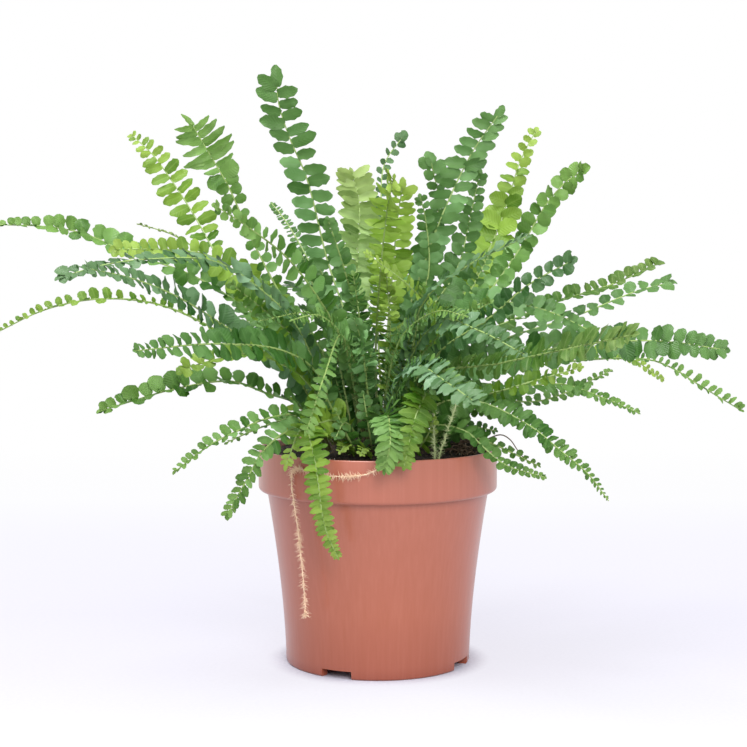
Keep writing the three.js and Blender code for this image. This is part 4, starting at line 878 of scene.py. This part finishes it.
def peat_surface():
    """Height over the radius and angle: the level with slow waves and crumbs, and a bed for the crown. The
    side goes down along the pot's wall to its floor."""
    random = np.random.default_rng(5)
    turn = 2 * np.pi * np.arange(PEAT_SIDES)[None] / PEAT_SIDES
    edge = RIM_RADIUS - WALL - 0.4
    radius = np.concatenate([[1.0, 8, 16, 24, 30], np.linspace(33, edge, 24)])[::-1, None]
    height = peat_level(radius, turn) + 0.5 * np.sin(5 * turn + 1)
    height = np.where(radius < 32, PEAT_BED, height + random.normal(0, 0.55, height.shape))
    side = np.array([[FOOT_RADIUS - WALL - 0.5, PEAT_FOOT], [47, 28], [50.4, 56],
                     [NECK_RADIUS - WALL - 0.6, 84], [edge, 92]])
    radius = np.concatenate([side[:, :1], radius])
    height = np.concatenate([np.repeat(side[:, 1:], PEAT_SIDES, axis=1), height])
    ring = np.stack([radius * np.cos(turn), radius * np.sin(turn), height], -1).reshape(-1, 3)
    points = np.concatenate([ring, [[0, 0, PEAT_FOOT], [0, 0, PEAT_BED]]])
    base = fan(len(ring), 0, PEAT_SIDES)[:, ::-1]
    cap = fan(len(ring) + 1, len(ring) - PEAT_SIDES, PEAT_SIDES)
    return points, [ring_faces(len(radius), PEAT_SIDES), base, cap]


def grit(count, random):
    """Small four-sided crumbs with a point above and below, strewn over the peat's ring round the crown."""
    turn = random.uniform(0, 2 * np.pi, count)
    radius = random.uniform(34, 56, count)
    middle = np.stack([radius * np.cos(turn), radius * np.sin(turn), peat_level(radius, turn) + 0.4], -1)
    corners = np.array([[0, 0, 1], [1, 0, 0], [0, 1, 0], [-1, 0, 0], [0, -1, 0], [0, 0, -1]], float)
    size = random.uniform(0.4, 1.1, (count, 1, 1)) * random.uniform(0.6, 1.3, (count, 6, 3))
    points = (middle[:, None] + corners * size).reshape(-1, 3)
    one = np.array([[0, 1, 2], [0, 2, 3], [0, 3, 4], [0, 4, 1], [5, 2, 1], [5, 3, 2], [5, 4, 3], [5, 1, 4]])
    return points, (6 * np.arange(count)[:, None, None] + one).reshape(-1, 3)


def damp_peat():
    """Damp peat: almost black, because its water swallows light, and matt, with brown bark crumbs."""
    material, out = new_material("damp_peat")
    place = add(material, "TexCoord")
    # Crumbs of 1 to 3 mm.
    crumb = add(material, "TexNoise", Vector=(place, "Object"), Scale=420.0, Detail=5.0, Roughness=0.7)
    colour = add(material, "ValToRGB", stops=[(0.35, "0F0C0B"), (0.55, "2A1F19"), (0.78, "5E4634")],
                 Fac=(crumb, 0))
    bump = add(material, "Bump", Height=(crumb, 0), Strength=1.0, Distance=0.002)
    shader = add(material, "BsdfPrincipled", Base_Color=(colour, 0), Roughness=0.95, Normal=(bump, 0))
    material.node_tree.links.new(shader.outputs[0], out.inputs[0])
    return material


def plain_matter(name, colour, rough):
    """A matt natural matter of one colour with a faint mottle."""
    material, out = new_material(name)
    place = add(material, "TexCoord")
    # Mottles some 2 mm across.
    mottle = add(material, "TexNoise", Vector=(place, "Object"), Scale=500.0, Detail=2.0)
    light = add(material, "HueSaturation", Value=1.3, Color=linear(colour))
    tint = add(material, "Mix", {"data_type": "RGBA"}, _0=(mottle, 0), _6=linear(colour), _7=(light, 0))
    shader = add(material, "BsdfPrincipled", Base_Color=(tint, 2), Roughness=rough)
    material.node_tree.links.new(shader.outputs[0], out.inputs[0])
    return material


def root_fibres(count, random):
    """Thin bent bars that lie over the heap of peat at the right, each on an arc of its own, and the loose
    root: a longer bar that thins along its line."""
    offsets = np.array([[-1.5, 0, -0.6], [-0.5, 1, 0.8], [0.5, -1, 1.2], [1.5, 0, -0.6]])
    bars = []
    for _ in range(count):
        turn = math.radians(random.uniform(-30, 75))
        radius = random.uniform(FIBRE_NEAR, FIBRE_FAR - 1)
        pile = random.uniform(0, 4.5) * max(0, math.cos(turn - FIBRE_TURN)) ** 6
        level = peat_level(radius, turn) + pile * (radius - FIBRE_NEAR) / (FIBRE_FAR - 1 - FIBRE_NEAR)
        way = random.uniform(0, 2 * np.pi)
        step = random.uniform(5, 12) / 3
        bend = random.uniform(-1.5, 1.5)
        axes = np.array([[step * math.cos(way), step * math.sin(way), 0],
                         [-bend * math.sin(way), bend * math.cos(way), 0], [0, 0, 1]])
        line = [radius * math.cos(turn), radius * math.sin(turn), level] + offsets @ axes
        line[:, :2] *= np.minimum(1, FIBRE_FAR / np.hypot(line[:, 0], line[:, 1]))[:, None]
        place, along, _ = smooth_line(line, np.linspace(0, 1, 9))
        bars.append(tube(place, along, 0.3, 4))
    place, along, _ = smooth_line(LOOSE_ROOT, np.linspace(0, 1, 24))
    bars.append(tube(place, along, np.linspace(0.45, 0.2, 24), 5))
    return joined([(bar, [quads, *caps], {}, np.full(len(quads) + 2, 2)) for bar, quads, caps in bars])


peat_random = np.random.default_rng(11)
soil_points, soil_faces = peat_surface()
soil = (soil_points, soil_faces, {}, np.zeros(sum(map(len, soil_faces))))
white_points, white_faces = grit(18, peat_random)
white = (white_points, [white_faces], {}, np.ones(len(white_faces)))
points, faces, _, kinds = joined([soil, white, root_fibres(90, peat_random)])
perlite = plain_matter("perlite_grit", "A8A296", 0.9)
fibre = plain_matter("root_fibre", "5E4A3A", 0.8)
make_piece("potting_peat", points, faces, [damp_peat(), perlite, fibre], ["peat"], None, kinds)


# The runner: a wiry pale stolon of the fern, clothed in tan hairs, that comes over the pot's lip, lies
# along the rim band and hangs down the wall by its own weight.
RUNNER_PATH = [(6, -51, 101), (6, -54.5, 107), (6, -58, 109.8), (4, -61.2, 108.8), (-2, -62, 103.5),
               (-12, -60.3, 101), (-22, -57.5, 100.6), (-32, -52.6, 101.5), (-39, -47.6, 103),
               (-41.2, -45.6, 99), (-40.6, -46.2, 90), (-38.4, -47.4, 76), (-36.8, -47.6, 62),
               (-35.4, -47.4, 48), (-34.6, -47.2, 31)]
RUNNER_TUFTS = (0.245, 0.45, 0.48, 0.73, 0.99)
TUFT_SPREAD = 0.017
TUFT_SHARE = 1 / 9
HAIR_THICK = 0.16


def hairs(place, way, length):
    """Three-sided cones that stand at their places, each closed by its own base."""
    spare = np.where(np.abs(way[:, 2:]) > 0.9, [[1.0, 0, 0]], [[0, 0, 1.0]])
    side = unit(np.cross(way, spare))
    over = np.cross(way, side)
    turn = 2 * np.pi * np.arange(3)[None, :, None] / 3
    base = place[:, None] + HAIR_THICK * (np.cos(turn) * side[:, None] + np.sin(turn) * over[:, None])
    tip = (place + way * length[:, None])[:, None]
    one = np.array([[0, 1, 3], [1, 2, 3], [2, 0, 3], [0, 2, 1]])
    points = np.concatenate([base, tip], 1).reshape(-1, 3)
    return points, (4 * np.arange(len(place))[:, None, None] + one).reshape(-1, 3)


def hairy_stem(path, radius, steps, count, reach, seed, lean, tufts=()):
    """A six-sided bar with hairs at even random places, and more of them round the shares of its length that
    bear tufts. They stand out from it, up to the reach, and lean along it and one way more."""
    random = np.random.default_rng(seed)
    place, along, _ = smooth_line(path, np.linspace(0, 1, steps))
    place = place + random.normal(0, 0.18, place.shape) * np.minimum(1, np.arange(steps) / 8)[:, None]
    bar, quads, caps = tube(place, along, radius, 6)
    spots = [random.normal(middle, TUFT_SPREAD, round(TUFT_SHARE * count)) for middle in tufts]
    spots = np.clip(np.concatenate([random.uniform(0.02, 0.99, count), *spots]), 0.02, 0.99)
    at, way, _ = smooth_line(path, spots)
    stray = random.normal(0, 1, at.shape)
    stray = unit(stray - way * np.einsum("ij,ij->i", stray, way)[:, None])
    stand = unit(stray + way * random.uniform(-0.2, 0.8, len(spots))[:, None] + np.array(lean))
    fuzz, fuzz_faces = hairs(at, stand, random.uniform(0.25, 1, len(spots)) ** 1.5 * reach)
    return joined([(bar, [quads, *caps], {}, np.zeros(len(quads) + 2)),
                   (fuzz, [fuzz_faces], {}, np.zeros(len(fuzz_faces)))])


points, faces, _, _ = hairy_stem(RUNNER_PATH, 0.22, 90, 900, 3.6, 21, (0, -0.3, -0.2), RUNNER_TUFTS)
tan_hair = plain_matter("runner_hair", "D6BCA2", 0.75)
make_piece("hairy_runner", points, faces, [tan_hair], ["runner"])


# The two stolons: young pale green shoots from one foot at the right of the crown, felted with short
# whitish hairs.
STOLON_PATHS = [
    [(28, -42, 101), (27.2, -41.5, 110), (26.8, -40, 121), (27, -38, 132)],
    [(28, -42, 101), (29.8, -42, 110), (33.5, -41, 121), (38, -38, 134)],
]

points, faces, _, _ = joined([hairy_stem(path, 0.34, 24, 380, 3.4, 31 + number, (0, 0, 0.1))
                              for number, path in enumerate(STOLON_PATHS)])
felt = plain_matter("stolon_felt", "A9B484", 0.8)
make_piece("fuzzy_stolons", points, faces, [felt], ["stolons"])


# The studio: a sheet of pale lavender paper that runs out to plain white behind the plant, two soft boxes
# above and before it, and white all round.
PLANT_MIDDLE = (0, 0, 0.15)


def studio_paper():
    """Matt lavender paper with a fine grain, lit from within so that the plant's shadow stays faint; it
    passes to white before the plant, behind it and from 0.6 m all round, and is unlit under the pot."""
    material, out = new_material("studio_paper")
    place = add(material, "TexCoord")
    apart = add(material, "SeparateXYZ", Vector=(place, "Object"))
    # Grain of some 2 mm.
    grain = add(material, "TexNoise", Vector=(place, "Object"), Scale=500.0, Detail=1.0)
    paper = add(material, "ValToRGB", stops=[(0.3, "B8B7C6"), (0.7, "C4C3D1")], Fac=(grain, 0))
    depth = add(material, "MapRange", _0=(apart, 1), _1=-0.13, _2=0.57, _3=0.0, _4=1.0)
    # The glow's colour is lavender and a little darker across the pot's place, partly the paper's tint and
    # partly painted shade, and white before and behind it.
    tint = add(material, "ValToRGB", Fac=(depth, 0),
               stops=[(0.0, "FFFFFF"), (0.06, "FBFAFE"), (0.14, "F8F6FE"), (0.33, "F6F4FE"),
                      (0.69, "FAF9FE"), (0.96, "FFFFFF")])
    share = add(material, "MapRange", _0=(apart, 1), _1=0.2, _2=0.9, _3=0.78, _4=1.0)
    from_pot = add(material, "VectorMath", {"operation": "LENGTH"}, _0=(place, "Object"))
    beside = add(material, "MapRange", {"interpolation_type": "SMOOTHSTEP"},
                 _0=(from_pot, 1), _1=0.044, _2=0.058, _3=0.0, _4=1.0)
    far = add(material, "MapRange", {"interpolation_type": "SMOOTHSTEP"},
              _0=(from_pot, 1), _1=0.6, _2=1.2, _3=0.0, _4=1.0)
    painted_light = add(material, "Math", {"operation": "MAXIMUM"}, _0=(share, 0), _1=(far, 0))
    lit = add(material, "Math", {"operation": "MULTIPLY"}, _0=(painted_light, 0), _1=(beside, 0))
    white = add(material, "Mix", {"data_type": "RGBA"}, _0=(far, 0), _6=(tint, 0), _7=linear("FFFFFF"))
    shader = add(material, "BsdfPrincipled", Base_Color=(paper, 0), Roughness=0.9)
    glow = add(material, "Emission", Color=(white, 2), Strength=1.0)
    both = add(material, "MixShader", _0=(lit, 0), _1=(shader, 0), _2=(glow, 0))
    material.node_tree.links.new(both.outputs[0], out.inputs[0])
    return material


floor_mesh = bpy.data.meshes.new("studio_floor")
floor_mesh.from_pydata([(-5, -4, 0), (5, -4, 0), (5, 5, 0), (-5, 5, 0)], [], [(0, 1, 2, 3)])
floor_mesh.materials.append(studio_paper())
studio_floor = bpy.data.objects.new("studio_floor", floor_mesh)
bpy.context.collection.objects.link(studio_floor)


def soft_box(name, place, size, power):
    """A square white area light at its place, turned to the plant."""
    light = bpy.data.lights.new(name, "AREA")
    light.size = size
    light.energy = power
    lamp = bpy.data.objects.new(name, light)
    lamp.location = place
    way = np.array(PLANT_MIDDLE) - np.array(place)
    tilt = math.atan2(math.hypot(way[0], way[1]), -way[2])
    lamp.rotation_euler = (tilt, 0, math.atan2(way[1], way[0]) - math.pi / 2)
    bpy.context.collection.objects.link(lamp)


soft_box("overhead_box", (-0.3, -0.25, 1.3), 0.5, 17)
soft_box("front_box", (0.35, -1.3, 0.85), 0.7, 15)

world = bpy.data.worlds.new("white_studio")
bpy.context.scene.world = world
world.use_nodes = True
world.node_tree.nodes["Background"].inputs[0].default_value = linear("FFFFFF")
world.node_tree.nodes["Background"].inputs[1].default_value = 1.0

bpy.context.scene.view_settings.view_transform = "Standard"

# The camera stands 0.8 m before the pot at 0.2 m, 2 mm left of its axis, and looks 4 degrees down.
lens = bpy.data.cameras.new("photo_camera")
lens.sensor_width = 36
lens.lens = 76.9
camera = bpy.data.objects.new("photo_camera", lens)
camera.location = (-0.00215, -0.8, 0.2005)
camera.rotation_euler = (math.radians(90 - 3.98), 0, 0)
bpy.context.collection.objects.link(camera)
bpy.context.scene.camera = camera
